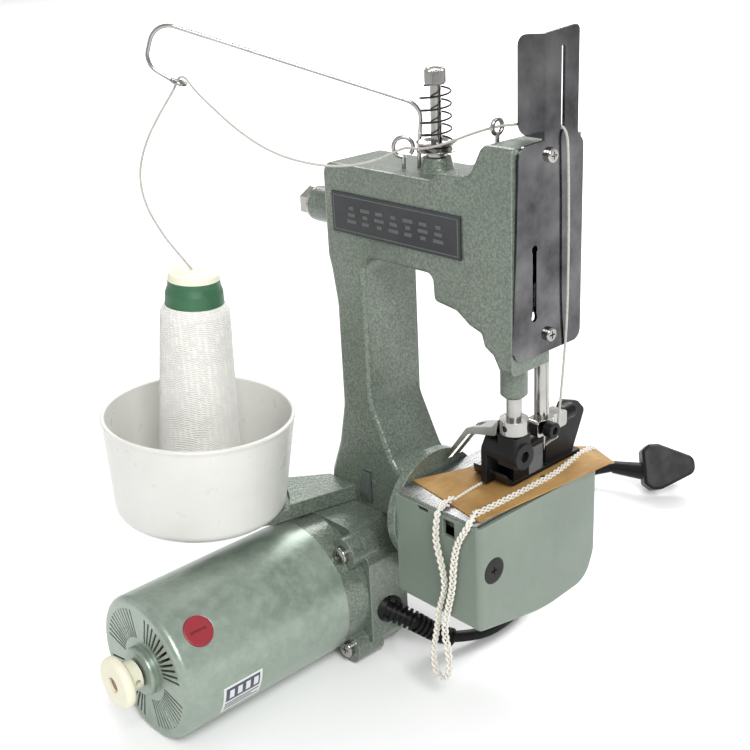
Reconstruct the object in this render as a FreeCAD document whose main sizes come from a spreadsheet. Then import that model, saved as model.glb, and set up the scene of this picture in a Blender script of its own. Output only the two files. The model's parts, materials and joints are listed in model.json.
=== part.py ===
import FreeCAD, Part
import math
import os
import re
from types import SimpleNamespace

# Hand-held single-thread chain-stitch bag closer.
# Machine frame while designing: X runs along the arm and is 0 on the outside of the face plate,
# Y is 0 on the middle of the face plate and grows along the bag's way in, Z is 0 on the bench.
# origin_x and origin_y move that frame to the part's own origin, the middle of its footprint.

V = FreeCAD.Vector
Placement = FreeCAD.Placement
Rotation = FreeCAD.Rotation

SIZES = {
    # where the machine frame sits in the part's frame
    "origin_x": 99.88, "origin_y": 58.35,
    # arm, column and head casting
    "arm_front": -23, "arm_back": 12, "arm_end": -124, "arm_top": 258, "arm_under": 214,
    "head_half": 23, "head_depth": 22, "head_top": 277.5, "head_under": 176,
    "column_in": -97.5, "column_out": -119, "casting_foot": 75, "wall": 3.5,
    # face plate
    "plate_thick": 1.5, "plate_low": 182.5, "plate_high": 277.5, "tongue_top": 323.5,
    "tongue_left": -3.5, "tongue_right": 19, "guard_depth": 15,
    # shafts and belt
    "shaft_y": -5.5, "upper_z": 230, "lower_z": 55.5, "shaft_rad": 5,
    "belt_x": -109.2, "belt_width": 8, "pulley_rad": 8, "belt_thick": 1.6,
    "crank_throw": 12, "worm_rad": 6,
    # motor
    "motor_x": -115.5, "motor_z": 37, "motor_rad": 37, "motor_rear": -161,
    "ring_rear": -61.5, "flange_y": -47, "ear_x": 28, "ear_z": 28.5, "ear_rad": 8.5,
    # bars and presser foot
    "bar_x": -12, "bar_rad": 3.6, "presser_y": -9.6, "needle_y": 10.2, "bar_low": 143.5,
    "slide_gap": 0.04, "turn_gap": 0.05,
    # bed
    "cover_left": -56.8, "cover_right": -2.3, "cover_near": -45.4, "cover_far": 42.4,
    "cover_top": 107.5, "cover_corner": 52, "cover_low": 44.5, "cover_wall": 2,
    "plate_top": 109.5,
    # thread stand
    "spool_x": -156.2, "spool_y": -92.5, "stand_low": 75.4, "stand_top": 84, "bowl_seat": 84.5,
    "bowl_rim_rad": 49.2, "bowl_foot_rad": 44, "bowl_high": 54, "bowl_wall": 2, "spool_lean": 4,
    # thread, wire and mains lead
    "wire_rad": 1, "thread_rad": 0.6, "lead_rad": 3.1,
    "coil_x": -109, "coil_y": 89, "coil_mid": 34.5, "coil_half": 10,
}

doc = FreeCAD.newDocument("bag_closer")
sheet = doc.addObject("Spreadsheet::Sheet", "Sizes")
for line, (alias, number) in enumerate(SIZES.items(), start=1):
    sheet.set(f"A{line}", alias)
    sheet.set(f"B{line}", str(number))
    sheet.setAlias(f"B{line}", alias)
doc.recompute()
D = SimpleNamespace(**{alias: float(sheet.get(alias)) for alias in SIZES})

SHIFT = V(D.origin_x, D.origin_y, 0)
TURNS = {
    "Z": Rotation(),
    "X": Rotation(V(0, 1, 0), 90),
    "Y": Rotation(V(1, 0, 0), -90),
}
PLANES = {
    "XY": Rotation(),
    "XZ": Rotation(V(1, 0, 0), 90),
    "YZ": Rotation(V(1, 1, 1), 120),
}
PARTS = {}


# ---------- helpers: the sheet ----------

def bound(text):
    """An expression in the sheet's aliases, as FreeCAD reads it."""
    return re.sub(r"[a-z_]+", lambda m: "Sizes." + m.group() if m.group() in SIZES else m.group(), str(text))


def bind(thing, **expressions):
    for prop, text in expressions.items():
        thing.setExpression(prop, bound(text))


def put(thing, x, y, z, turn=None):
    """Place an object at (x, y, z) of the machine frame; each may be an expression."""
    thing.Placement = Placement(V(0, 0, 0), turn or Rotation())
    thing.setExpression("Placement.Base.x", bound(f"origin_x + ({x})"))
    thing.setExpression("Placement.Base.y", bound(f"origin_y + ({y})"))
    thing.setExpression("Placement.Base.z", bound(z))
    return thing


def keep(label, thing):
    thing.Label = label
    PARTS[label] = thing
    return thing


# ---------- helpers: primitives ----------

def cylinder(rad, long, x, y, z, axis="Z"):
    thing = doc.addObject("Part::Cylinder", "cylinder")
    bind(thing, Radius=rad, Height=long)
    return put(thing, x, y, z, TURNS[axis])


def block(dx, dy, dz, x, y, z):
    thing = doc.addObject("Part::Box", "block")
    bind(thing, Length=dx, Width=dy, Height=dz)
    return put(thing, x, y, z)


def fuse(*things):
    thing = doc.addObject("Part::MultiFuse", "fuse")
    thing.Shapes = list(things)
    thing.Refine = True
    return thing


def cut(base, *tools):
    for tool in tools:
        thing = doc.addObject("Part::Cut", "cut")
        thing.Base = base
        thing.Tool = tool
        base = thing
    return base


def group(*things):
    """Separate solids of one kind, such as a set of screws."""
    thing = doc.addObject("Part::Compound", "group")
    thing.Links = list(things)
    return thing


def shaped(shape):
    """A Part::Feature holding a shape worked out in the machine frame."""
    thing = doc.addObject("Part::Feature", "shaped")
    thing.Shape = shape
    thing.Placement = Placement(SHIFT, Rotation()).multiply(shape.Placement)
    return thing


# ---------- helpers: outlines ----------

def curves(outline):
    """Lines and corner arcs of a closed outline of (a, b) or (a, b, corner radius) points."""
    pieces = []
    ends = []
    count = len(outline)
    for k in range(count):
        here = V(outline[k][0], outline[k][1], 0)
        radius = outline[k][2] if len(outline[k]) > 2 else 0
        if not radius:
            ends.append((here, here, None))
            continue
        before = (V(*outline[k - 1][:2], 0) - here).normalize()
        after = (V(*outline[(k + 1) % count][:2], 0) - here).normalize()
        half = before.getAngle(after) / 2
        middle = (before + after).normalize()
        reach = radius / math.tan(half)
        start, stop = here + before * reach, here + after * reach
        ends.append((start, stop, Part.Arc(start, here + middle * (radius / math.sin(half) - radius), stop)))
    for k in range(count):
        if ends[k][2]:
            pieces.append(ends[k][2])
        start, stop = ends[k][1], ends[(k + 1) % count][0]
        if start.distanceToPoint(stop) > 1e-6:
            pieces.append(Part.LineSegment(start, stop))
    return pieces


def prism(outline, plane, at, depth):
    """Solid of an outline drawn on a plane at the given height and pushed along its normal."""
    face = Part.Face(Part.Wire([piece.toShape() for piece in curves(outline)]))
    solid = face.extrude(V(0, 0, depth))
    if plane == "XZ":
        solid.Placement = Placement(V(0, at + depth, 0), PLANES["XZ"])
    elif plane == "YZ":
        solid.Placement = Placement(V(at, 0, 0), PLANES["YZ"])
    else:
        solid.Placement = Placement(V(0, 0, at), Rotation())
    return solid


def rod(rad, start, stop):
    """Solid round bar between two points."""
    along = V(*stop) - V(*start)
    return Part.makeCylinder(rad, along.Length, V(*start), along)


def box(x0, x1, y0, y1, z0, z1):
    return Part.makeBox(x1 - x0, y1 - y0, z1 - z0, V(x0, y0, z0))


def origin_plane(body, role):
    return next(item for item in body.Origin.OriginFeatures if item.Role == role)


def draw(body, outline, holes=()):
    """Sketch on the body's XY plane: an outline and round holes (a, b, radius)."""
    sketch = body.newObject("Sketcher::SketchObject", "sketch")
    sketch.AttachmentSupport = [(origin_plane(body, "XY_Plane"), "")]
    sketch.MapMode = "FlatFace"
    for piece in curves(outline):
        sketch.addGeometry(piece, False)
    for a, b, radius in holes:
        sketch.addGeometry(Part.Circle(V(a, b, 0), V(0, 0, 1), radius), False)
    return sketch


def padded(outline, length, x, y, z, plane="XY", holes=()):
    """PartDesign body: an outline padded by a length; XZ pads towards -Y, YZ towards +X."""
    body = doc.addObject("PartDesign::Body", "body")
    pad = body.newObject("PartDesign::Pad", "pad")
    pad.Profile = draw(body, outline, holes)
    pad.setExpression("Length", bound(length))
    body.Tip = pad
    return put(body, x, y, z, PLANES[plane])


def turned(profile, x, y, z, axis="Z"):
    """PartDesign body: a (radius, height) profile turned once round an axis."""
    body = doc.addObject("PartDesign::Body", "body")
    sketch = body.newObject("Sketcher::SketchObject", "sketch")
    sketch.AttachmentSupport = [(origin_plane(body, "XZ_Plane"), "")]
    sketch.MapMode = "FlatFace"
    for piece in curves(profile):
        sketch.addGeometry(piece, False)
    spin = body.newObject("PartDesign::Revolution", "turned")
    spin.Profile = sketch
    spin.ReferenceAxis = (sketch, ["V_Axis"])
    spin.Angle = 360
    body.Tip = spin
    return put(body, x, y, z, TURNS[axis])


def sharp_ring(edge):
    """True for a full circle."""
    return edge.Curve.TypeId == "Part::GeomCircle" and edge.isClosed()


# ---------- helpers: bent wire, thread and lead ----------

def bent(points, rad, label, corner=None):
    """Round tube through points: straight runs joined by tangent arcs."""
    points = [V(*p) for p in points]
    edges = []
    here = points[0]
    radii = []
    for before, at, after in zip(points, points[1:], points[2:]):
        back, ahead = before - at, after - at
        shorter = min(back.Length, ahead.Length)
        back.normalize()
        ahead.normalize()
        half = back.getAngle(ahead) / 2
        reach = 0.45 * shorter if corner is None else min(0.45 * shorter, corner / math.tan(half))
        radius = reach * math.tan(half)
        middle = (back + ahead).normalize()
        start, stop = at + back * reach, at + ahead * reach
        top = at + middle * (radius / math.sin(half) - radius)
        edges.append(Part.LineSegment(here, start).toShape())
        edges.append(Part.Arc(start, top, stop).toShape())
        radii.append(round(radius, 1))
        here = stop
    edges.append(Part.LineSegment(here, points[-1]).toShape())
    path = Part.Wire(edges)
    ring = Part.Wire(Part.makeCircle(rad, points[0], points[1] - points[0]))
    tube = path.makePipeShell([ring], True, False)
    expected = math.pi * rad ** 2 * path.Length
    print(label, "length", round(path.Length, 1), "radii", radii, "volume", round(tube.Volume / expected, 4))
    return tube


# ---------- frame: arm, head, column and bed in one casting ----------

FEED_X, FEED_Z = -28.25, 103.7
POST = (-62, -5)
COVER_SCREWS = [(-119.4, 236), (-75, 254.4), (-27.8, 236), (-92.5, 90), (-121.5, 90)]
PLATE_SCREWS = [271.4, 190.6]
STAND_SCREWS = [(-128, 80.5), (-118, 80.5)]


def frame_outline():
    """Side view of the casting in X and Z, with corner radii."""
    return [
        (D.arm_end, D.arm_top, 6), (-50, D.arm_top, 6), (-45.5, 262, 6), (-27, 262.5, 6),
        (-19, D.head_top, 6), (-D.plate_thick, D.head_top), (-D.plate_thick, D.head_under),
        (-9.5, D.head_under, 3.5), (-13.6, 183, 2), (-18.8, 186, 3), (-20.6, 191.8, 2), (-27.6, 194, 3.5),
        (-35.5, 199.3, 3), (-49.8, 201.3, 3), (-50.6, D.arm_under, 4), (D.column_in, D.arm_under, 9),
        (D.column_in, 136, 30), (-81, 104, 12), (-62, 98), (-57, 98), (-57, D.casting_foot),
        (-133, D.casting_foot), (-131.4, 88, 10), (D.arm_end, 107, 14), (D.column_out, 130, 25),
        (D.column_out, 186, 25), (-122, 204, 10), (D.arm_end, 211, 6),
    ]


def frame_casting():
    near, far = D.arm_front, D.arm_back
    body = prism(frame_outline(), "XZ", near, far - near)
    head = prism(frame_outline(), "XZ", near, 2 * D.head_half)
    body = body.fuse(head.common(box(-D.head_depth, 0, near, D.head_half, 150, 300)))
    body = body.cut(box(-30, 0, 2.5, 30, 150, D.plate_low))
    outer = [edge for edge in body.Edges
             if abs(edge.BoundBox.YMin - near) < 1e-6 and abs(edge.BoundBox.YMax - near) < 1e-6
             and edge.BoundBox.ZMin > 100 and edge.BoundBox.XMin < -D.plate_thick - 1e-6]
    body = body.makeFillet(2.6, outer)
    # bed: neck, round flange behind the cover, table under the throat plate, front bearing, looper lug
    neck = box(-96, -57, -20.9, far, 46, D.casting_foot + 1)
    flange = rod(30, (-62, -17, 90), (-57, -17, 90)).cut(box(-70, -50, -60, 30, 0, 60))
    table = box(-57.5, -8, -41, 38, 100, D.cover_top).cut(box(-46, -6, -16, 34, 90, 110))
    web = box(-57.5, -14, -9.5, -1.5, 60, 101)
    front_bearing = rod(9, (-24, D.shaft_y, D.lower_z), (-14, D.shaft_y, D.lower_z))
    lug = box(-17, -7, 18, 23, 68, 101).fuse(box(-17, -7, 18, 38, 96, 101))
    boss = rod(9.2, (-147, D.shaft_y, D.upper_z), (-122, D.shaft_y, D.upper_z))
    presser_boss = rod(6.4, (D.bar_x, D.presser_y, 160), (D.bar_x, D.presser_y, 180))
    presser_boss = presser_boss.makeChamfer(1.5, [e for e in presser_boss.Edges if e.BoundBox.ZMax < 161])
    screw_lug = box(-16, -4.6, -41, -29.5, 75, 101)
    post_boss = Part.makeCone(8.4, 6.6, 7.4, V(*POST, 257), V(0, 0, 1))
    for piece in (neck, flange, table, web, front_bearing, lug, screw_lug, boss, presser_boss, post_boss):
        body = body.fuse(piece)
    # hollows: belt room in column and arm, and the head's room behind the face plate
    belt_room = box(-116.5, -100.5, near + D.wall, far + 1, 70, 230)
    arm_room = box(-115.5, -32, near + D.wall, far + 1, 217.5, 251.5)
    head_room = box(-21.5, 0, -20.4, 19.5, 187, 273)
    body = body.cut(belt_room.fuse(arm_room)).cut(head_room)
    bridge = box(-21.5, -7.5, -20.4, 19.5, 228, 236).cut(box(-21.6, -15.9, -20.5, 19.6, 227, 237))
    body = body.fuse(bridge)
    # bores for shafts, bushes, bars, rear bolt, looper pin, trigger pocket and wire feet
    y, bar = D.shaft_y, D.bar_rad + D.slide_gap
    bores = [
        rod(7, (-32.1, y, D.upper_z), (-21, y, D.upper_z)), rod(7, (-123, y, D.upper_z),
                                                                (-118, y, D.upper_z)),
        rod(5.2, (-119, y, D.upper_z), (-115, y, D.upper_z)),
        rod(4.05, (-148, y, D.upper_z), (-126, y, D.upper_z)),
        rod(6, (-97, y, D.lower_z), (-20, y, D.lower_z)),
        rod(7, (-70, y, D.lower_z), (-56, y, D.lower_z)), rod(7, (-24.1, y, D.lower_z), (-13, y, D.lower_z)),
        rod(bar, (D.bar_x, D.presser_y, 150), (D.bar_x, D.presser_y, 240)),
        rod(bar, (D.bar_x, D.needle_y, 170), (D.bar_x, D.needle_y, 240)),
        rod(2.5 + D.turn_gap, (-12, 17, 75), (-12, 24, 75)),
        box(-106, -99, near - 1, -15.5, 77, 96), rod(1.25, (-108, -21.6, 92), (-96, -21.6, 92)),
        rod(2 + D.slide_gap, (FEED_X, -24, FEED_Z), (FEED_X, 39, FEED_Z)),
        rod(2, (-17, -35.1, 82.1), (-4, -35.1, 82.1)),
        rod(2.5, (-62, -5, 250), (-62, -5, 268)),
        rod(D.wire_rad + 0.2, (-74, -5, 250), (-73.8, -5, 263)),
        rod(D.wire_rad, (-78, -11, 250), (-78, -11, 263)), rod(D.wire_rad, (-22.4, -8, 270),
                                                               (-22.4, -8, 279)),
    ]
    for bore in bores:
        body = body.cut(bore)
    for x, z in COVER_SCREWS:
        body = body.cut(rod(1.6, (x, far - 8, z), (x, far + 1, z)))
    for z in PLATE_SCREWS:
        body = body.fuse(box(-9, -D.plate_thick, -3.6, 4.4, z - 4, z + 4)).cut(rod(1.6, (-9, 0.4, z),
                                                                                   (0, 0.4, z)))
    for x, z in STAND_SCREWS:
        body = body.cut(rod(1.6, (x, near - 1, z), (x, near + D.wall + 1, z)))
    return body.removeSplitter()


keep("frame_casting", shaped(frame_casting()))


def back_cover():
    outline = [
        (-122.8, 256.8, 5), (-24.5, 256.8, 5), (-24.5, 215.2, 4), (-98.7, 215.2, 8), (-98.7, 122, 12),
        (-88, 100, 6), (-88, 84, 3), (-127, 84, 3), (-120.5, 112, 15), (-117.6, 140, 20), (-117.6, 198, 20),
        (-122.8, 213, 6),
    ]
    return padded(outline, 2.5, 0, "arm_back + 2.5", 0, "XZ", [(x, z, 1.7) for x, z in COVER_SCREWS])


keep("back_cover", back_cover())


# ---------- outside fittings of the arm and head ----------

def screw_shape(long, rad=1.6, head_rad=3.3, head_high=2.2):
    """Cross-recess pan screw standing on z = 0 with its shank below."""
    head = Part.makeCylinder(head_rad, head_high)
    head = head.makeFillet(0.9, [e for e in head.Edges if sharp_ring(e) and e.BoundBox.ZMin > head_high - 1e-6])
    shank = Part.makeCylinder(rad, long, V(0, 0, -long))
    size = 1.15 * rad
    slots = box(-size, size, -0.4, 0.4, head_high - 1.2, head_high + 1)
    slots = slots.fuse(box(-0.4, 0.4, -size, size, head_high - 1.2, head_high + 1))
    return head.fuse(shank).cut(slots).removeSplitter()


def aimed(shape, at, along):
    """Copy of a z-axis shape moved to a point and turned to look along a direction."""
    shape = shape.copy()
    shape.Placement = Placement(V(*at), Rotation(V(0, 0, 1), V(*along)))
    return shape


def compound(shapes):
    return shaped(Part.Compound(shapes))


screws = [aimed(screw_shape(7.5), (x, D.arm_back + 2.5, z), (0, 1, 0)) for x, z in COVER_SCREWS]
screws += [aimed(screw_shape(7), (0, 0.4, z), (1, 0, 0)) for z in PLATE_SCREWS]
keep("cover_screws", compound(screws))

keep("name_plate", padded([(-116.3, 224.7), (-30.5, 224.7), (-30.5, 244.7), (-116.3, 244.7)],
                          1, 0, "arm_front", 0, "XZ"))


def face_plate():
    """Bright plate over the head, with a tall tongue and a guard bent back from it."""
    thick, back = D.plate_thick, -D.plate_thick
    half = D.head_half
    flat = prism([(-half, D.plate_low, 5), (half, D.plate_low, 5), (half, D.plate_high - 3, 5),
                  (D.tongue_right, D.plate_high, 2), (D.tongue_right, D.tongue_top, 2.5),
                  (D.tongue_left, D.tongue_top - 2, 1), (D.tongue_left, D.plate_high + 0.6),
                  (-half + 3, D.plate_high, 5)], "YZ", back, thick)
    guard = prism([(0, D.tongue_top - 2), (-D.guard_depth, D.tongue_top - 3, 5),
                   (-D.guard_depth, D.plate_high + 3, 5), (-D.guard_depth + 5, D.plate_high + 1.2),
                   (0, D.plate_high + 1.2)],
                  "XZ", D.tongue_left, thick)
    plate = flat.fuse(guard)
    slot = prism([(7.3, 281, 1.1), (9.7, 281, 1.1), (9.7, 316, 1.1), (7.3, 316, 1.1)], "YZ", -5, 10)
    key = prism([(-11, 201), (-8.2, 201), (-8.2, 232), (-11, 232)], "YZ", -5, 10)
    key = key.fuse(rod(1.9, (-5, -9.6, 201), (5, -9.6, 201))).fuse(rod(1.9, (-5, -9.6, 232), (5, -9.6, 232)))
    plate = plate.cut(slot).cut(key)
    for z in PLATE_SCREWS:
        plate = plate.cut(rod(1.7, (-5, 0.4, z), (5, 0.4, z)))
    return plate.removeSplitter()


keep("face_plate", shaped(face_plate()))

washer = cut(cylinder(9, 1.4, -148.4, "shaft_y", "upper_z", "X"),
             cylinder(4, 3, -149, "shaft_y", "upper_z", "X"))
hexagon = doc.addObject("Part::Prism", "hexagon")
bind(hexagon, Circumradius=8.1, Height=7)
hexagon.Polygon = 6
put(hexagon, -155.4, "shaft_y", "upper_z", Rotation(V(0, 1, 0), 90))
bolt = fuse(hexagon, cylinder(4, 26, "-155.4 + 3", "shaft_y", "upper_z", "X"))
keep("rear_bolt", group(washer, bolt))


# ---------- thread tension, wire arm and eyelets ----------

post = fuse(cylinder(2.5, 16, POST[0], POST[1], 250), cylinder(4.6, 2.2, POST[0], POST[1], 264.5),
            cylinder(2.6, 38, POST[0], POST[1], 264))
keep("tension_post", cut(post, block(6, 0.9, 34, POST[0] - 3, POST[1] - 0.45, 268.5)))
disc = [(2.65, 0), (7, 0), (9.4, 1.6), (9.4, 2.1), (7, 0.7), (2.65, 0.7)]
keep("tension_disc_lower", turned([(r, -h) for r, h in disc], *POST, 269.2))
keep("tension_disc_upper", turned([(r + 0.05, h) for r, h in disc], *POST, 269.4))
nut = turned([(2.65, 0), (4.6, 0, 0.6), (4.9, 0.9), (4.9, 7.4, 0.7), (2.65, 7.4)], *POST, 297)
keep("tension_nut", nut)


def coil_spring(wire, rad_low, rad_high, height, turns, at):
    """Open helical spring of round wire."""
    slope = math.degrees(math.atan2(rad_high - rad_low, height))
    helix = Part.makeHelix(height / turns, height, rad_low, slope)
    start = helix.Edges[0].valueAt(helix.Edges[0].FirstParameter)
    along = helix.Edges[0].tangentAt(helix.Edges[0].FirstParameter)
    ring = Part.Wire(Part.makeCircle(wire / 2, start, along))
    spring = Part.Wire(helix).makePipeShell([ring], True, True)
    spring.translate(V(*at))
    return spring


keep("tension_spring", shaped(coil_spring(0.9, 7, 4.1, 25.2, 4.5, (*POST, 270.8))))

ARM_WIRE = [(-74, -5, 251), (-73.4, -5, 268), (-70.9, -5.2, 287), (-153.1, -90.1, 329.7),
            (-157.7, -94.8, 310.8),
            (-149.6, -86.6, 303.2)]
eye = Part.makeTorus(3.1, D.wire_rad)
eye.Placement = Placement(V(-147.5, -84.4, 302.1), Rotation(V(0, 0, 1), V(-0.23, -0.234, -0.944)))
keep("thread_arm", shaped(bent(ARM_WIRE, D.wire_rad, "thread_arm", 9).fuse(eye)))


def wire_ring(rad, center, turn, stem_foot):
    """Eyelet of round wire: most of a ring and a straight stem going into the casting."""
    ring = Part.makeTorus(rad, D.wire_rad, V(0, 0, 0), V(0, 0, 1), -180, 180, 330)
    ring.Placement = Placement(V(*center), turn)
    low = (center[0], center[1], center[2] - rad)
    return ring.fuse(rod(D.wire_rad, (stem_foot[0], stem_foot[1], stem_foot[2]), low))


eyelets = [wire_ring(4.6, (-78, -11, 268), Rotation(V(1, 1, 0), 90), (-78, -11, 251)),
           wire_ring(3.2, (-22.4, -8, 282.4), Rotation(V(0, 1, 0), 90), (-22.4, -8, 271))]
keep("wire_eyelets", compound(eyelets))


# ---------- shafts, belt and crank ----------

keep("upper_shaft", cylinder("shaft_rad", 102, -122.8, "shaft_y", "upper_z", "X"))
PULLEY = [(5, 0), (9.4, 0), (9.4, 0.9), (8, 0.9), (8, 9.1), (9.4, 9.1), (9.4, 10), (5, 10)]
keep("upper_pulley", turned(PULLEY, -110.2, "shaft_y", "upper_z", "X"))
keep("lower_pulley", turned(PULLEY, -110.2, "shaft_y", "lower_z", "X"))


def belt():
    """Timing belt as a flat loop round both pulleys."""
    def loop(rad):
        high, low, y = D.upper_z, D.lower_z, D.shaft_y
        around = Part.Wire([
            Part.LineSegment(V(0, y + rad, low), V(0, y + rad, high)).toShape(),
            Part.Arc(V(0, y + rad, high), V(0, y, high + rad), V(0, y - rad, high)).toShape(),
            Part.LineSegment(V(0, y - rad, high), V(0, y - rad, low)).toShape(),
            Part.Arc(V(0, y - rad, low), V(0, y, low - rad), V(0, y + rad, low)).toShape()])
        solid = Part.Face(around).extrude(V(D.belt_width, 0, 0))
        solid.translate(V(D.belt_x, 0, 0))
        return solid
    return loop(D.pulley_rad + D.belt_thick).cut(loop(D.pulley_rad + 0.15))


keep("timing_belt", shaped(belt()))


def crank_disc():
    """Crank web with its balance weight and a short crank pin."""
    y, z, throw = D.shaft_y, D.upper_z, D.crank_throw
    web = prism([(y - 5.5, z - 12, 5), (y + 5.5, z - 12, 5), (y + 4, z + throw + 2.6, 3.5),
                 (y - 4, z + throw + 2.6, 3.5)],
                "YZ", -20.8, 1.7)
    return web.fuse(rod(2, (-19.2, y, z + throw), (-18.7, y, z + throw)))


ROD_LONG = 30


def bar_stud_height():
    return D.upper_z + D.crank_throw - math.sqrt(ROD_LONG ** 2 - (D.needle_y - D.shaft_y) ** 2)


STUD_Z = bar_stud_height()
keep("crank", shaped(crank_disc()))


def connecting_rod():
    low, high = V(0, D.needle_y, STUD_Z), V(0, D.shaft_y, D.upper_z + D.crank_throw)
    eyes = []
    for x0, x1, rad in ((-18.3, -16.2, 4), (-18.9, -15.9, 2.45)):
        eyes.append([rod(rad, (x0, p.y, p.z), (x1, p.y, p.z)) for p in (low, high)])
    along = (high - low).normalize()
    side = V(0, along.z, -along.y) * 2
    corners = [low + side, low - side, high - side, high + side]
    web = Part.Face(Part.makePolygon([V(-18.3, c.y, c.z) for c in corners + corners[:1]])).extrude(V(2.1,
                                                                                                     0, 0))
    return web.fuse(eyes[0][0]).fuse(eyes[0][1]).cut(eyes[1][0]).cut(eyes[1][1]).removeSplitter()


keep("connecting_rod", shaped(connecting_rod()))

needle_bar = fuse(cylinder("bar_rad", 118.5, "bar_x", "needle_y", "bar_low"),
                  cylinder(2.4, 3.6, "bar_x - 6.6", "needle_y", STUD_Z, "X"))
keep("needle_bar", needle_bar)

keep("lower_shaft", cylinder("shaft_rad", 119, -133, "shaft_y", "lower_z", "X"))

bushes = [
    (-32, 10, D.upper_z), (-123, 3.8, D.upper_z), (-132.8, 9.6, D.lower_z), (-70, 10, D.lower_z),
    (-24, 9.9, D.lower_z),
]
bush_rings = []
for x, long, z in bushes:
    outer = rod(7, (x, D.shaft_y, z), (x + long, D.shaft_y, z))
    bush_rings.append(outer.cut(rod(D.shaft_rad + D.turn_gap, (x - 1, D.shaft_y, z),
                                    (x + long + 1, D.shaft_y, z))))
for y, long in ((-160.9, 6), (-55, 6)):
    outer = rod(10, (D.motor_x, y, D.motor_z), (D.motor_x, y + long, D.motor_z))
    bush_rings.append(outer.cut(rod(4 + D.turn_gap, (D.motor_x, y - 1, D.motor_z),
                                    (D.motor_x, y + long + 1, D.motor_z))))
keep("shaft_bearings", compound(bush_rings))


def worm_wheel():
    wheel = rod(12.2, (-120, D.shaft_y, D.lower_z), (-111, D.shaft_y, D.lower_z))
    wheel = wheel.cut(rod(D.shaft_rad, (-121, D.shaft_y, D.lower_z), (-110, D.shaft_y, D.lower_z)))
    notch = box(-121, -110, -0.75, 0.75, 10.9, 13)
    for k in range(24):
        tool = notch.copy()
        tool.rotate(V(0, 0, 0), V(1, 0, 0), 15 * k)
        tool.translate(V(0, D.shaft_y, D.lower_z))
        wheel = wheel.cut(tool)
    return wheel


keep("worm_wheel", shaped(worm_wheel()))


# ---------- motor ----------

EARS = [(D.motor_x + sx * D.ear_x, D.motor_z + sz * D.ear_z) for sx in (-1, 1) for sz in (-1, 1)]


def along_motor(rad, y0, y1):
    return rod(rad, (D.motor_x, y0, D.motor_z), (D.motor_x, y1, D.motor_z))


def around_motor(shape, degrees):
    """Copy turned round the motor's axis."""
    shape = shape.copy()
    shape.rotate(V(D.motor_x, 0, D.motor_z), V(0, -1, 0), degrees)
    return shape


BRUSH_Y = -144.5
BRUSH_ANGLES = (44.6, 224.6)


def motor_shell():
    outer = along_motor(D.motor_rad, D.motor_rear, D.ring_rear)
    rear_edge = [e for e in outer.Edges if sharp_ring(e) and e.BoundBox.YMax < D.motor_rear + 1]
    outer = outer.makeFillet(3.5, rear_edge)
    boss = along_motor(12.5, D.motor_rear - 4, D.motor_rear + 3)
    boss = boss.makeFillet(2, [e for e in boss.Edges if sharp_ring(e) and e.BoundBox.YMax < D.motor_rear - 3])
    shell = outer.fuse(boss).cut(along_motor(34.6, D.motor_rear + 3, D.ring_rear + 1))
    shell = shell.fuse(along_motor(12.5, D.motor_rear + 2, D.motor_rear + 6.1))
    shell = shell.cut(along_motor(10, D.motor_rear + 0.1, D.motor_rear + 7))
    shell = shell.cut(along_motor(6, D.motor_rear - 5, D.motor_rear + 2))
    vent = box(D.motor_x + 16.5, D.motor_x + 31.5, D.motor_rear - 1, D.motor_rear + 4, D.motor_z - 0.65,
               D.motor_z + 0.65)
    for start in (12, 102, 192, 282):
        for k in range(12):
            shell = shell.cut(around_motor(vent, start + 6 * k))
    hole = rod(7.6, (D.motor_x + 28, BRUSH_Y, D.motor_z), (D.motor_x + 39, BRUSH_Y, D.motor_z))
    for angle in BRUSH_ANGLES:
        shell = shell.cut(around_motor(hole, angle))
    return shell.removeSplitter()


keep("motor_shell", shaped(motor_shell()))


def brush_caps():
    """Red slotted caps over the two carbon-brush tubes."""
    x0, x1 = D.motor_x + 30, D.motor_x + D.motor_rad + 0.3
    cap = rod(7.5, (x0, BRUSH_Y, D.motor_z), (x1, BRUSH_Y, D.motor_z))
    cap = cap.makeFillet(0.5, [e for e in cap.Edges if sharp_ring(e) and e.BoundBox.XMin > x1 - 0.01])
    cap = cap.cut(box(x1 - 1.2, x1 + 1, BRUSH_Y - 4.6, BRUSH_Y + 4.6, D.motor_z - 0.55, D.motor_z + 0.55))
    return [around_motor(cap, angle) for angle in BRUSH_ANGLES]


def carbon_brushes():
    brush = box(D.motor_x + 11.5, D.motor_x + 29.9, BRUSH_Y - 3, BRUSH_Y + 3, D.motor_z - 2.5,
                D.motor_z + 2.5)
    return [around_motor(brush, angle) for angle in BRUSH_ANGLES]


keep("brush_caps", compound(brush_caps()))


def ears(y0, y1):
    shape = rod(D.ear_rad, (EARS[0][0], y0, EARS[0][1]), (EARS[0][0], y1, EARS[0][1]))
    for x, z in EARS[1:]:
        shape = shape.fuse(rod(D.ear_rad, (x, y0, z), (x, y1, z)))
    for x, z in EARS:
        middle = (0.6 * x + 0.4 * D.motor_x, 0.6 * z + 0.4 * D.motor_z)
        shape = shape.fuse(rod(D.ear_rad, (middle[0], y0, middle[1]), (middle[0], y1, middle[1])))
    return shape


def motor_ring():
    """Front end frame of the motor: a short drum with four screw ears and a bearing plate."""
    ring = along_motor(D.motor_rad, D.ring_rear, D.flange_y).fuse(ears(D.ring_rear + 6, D.flange_y))
    ring = ring.cut(along_motor(34.6, D.ring_rear - 1, -51))
    ring = ring.fuse(along_motor(13, -56, -50)).cut(along_motor(10, -55, -49)).cut(along_motor(6, -60, -40))
    for x, z in EARS:
        ring = ring.cut(rod(2.2, (x, -70, z), (x, -40, z))).cut(rod(4.8, (x, -70, z),
                                                                    (x, D.ring_rear + 6, z)))
    return ring.removeSplitter()


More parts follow.
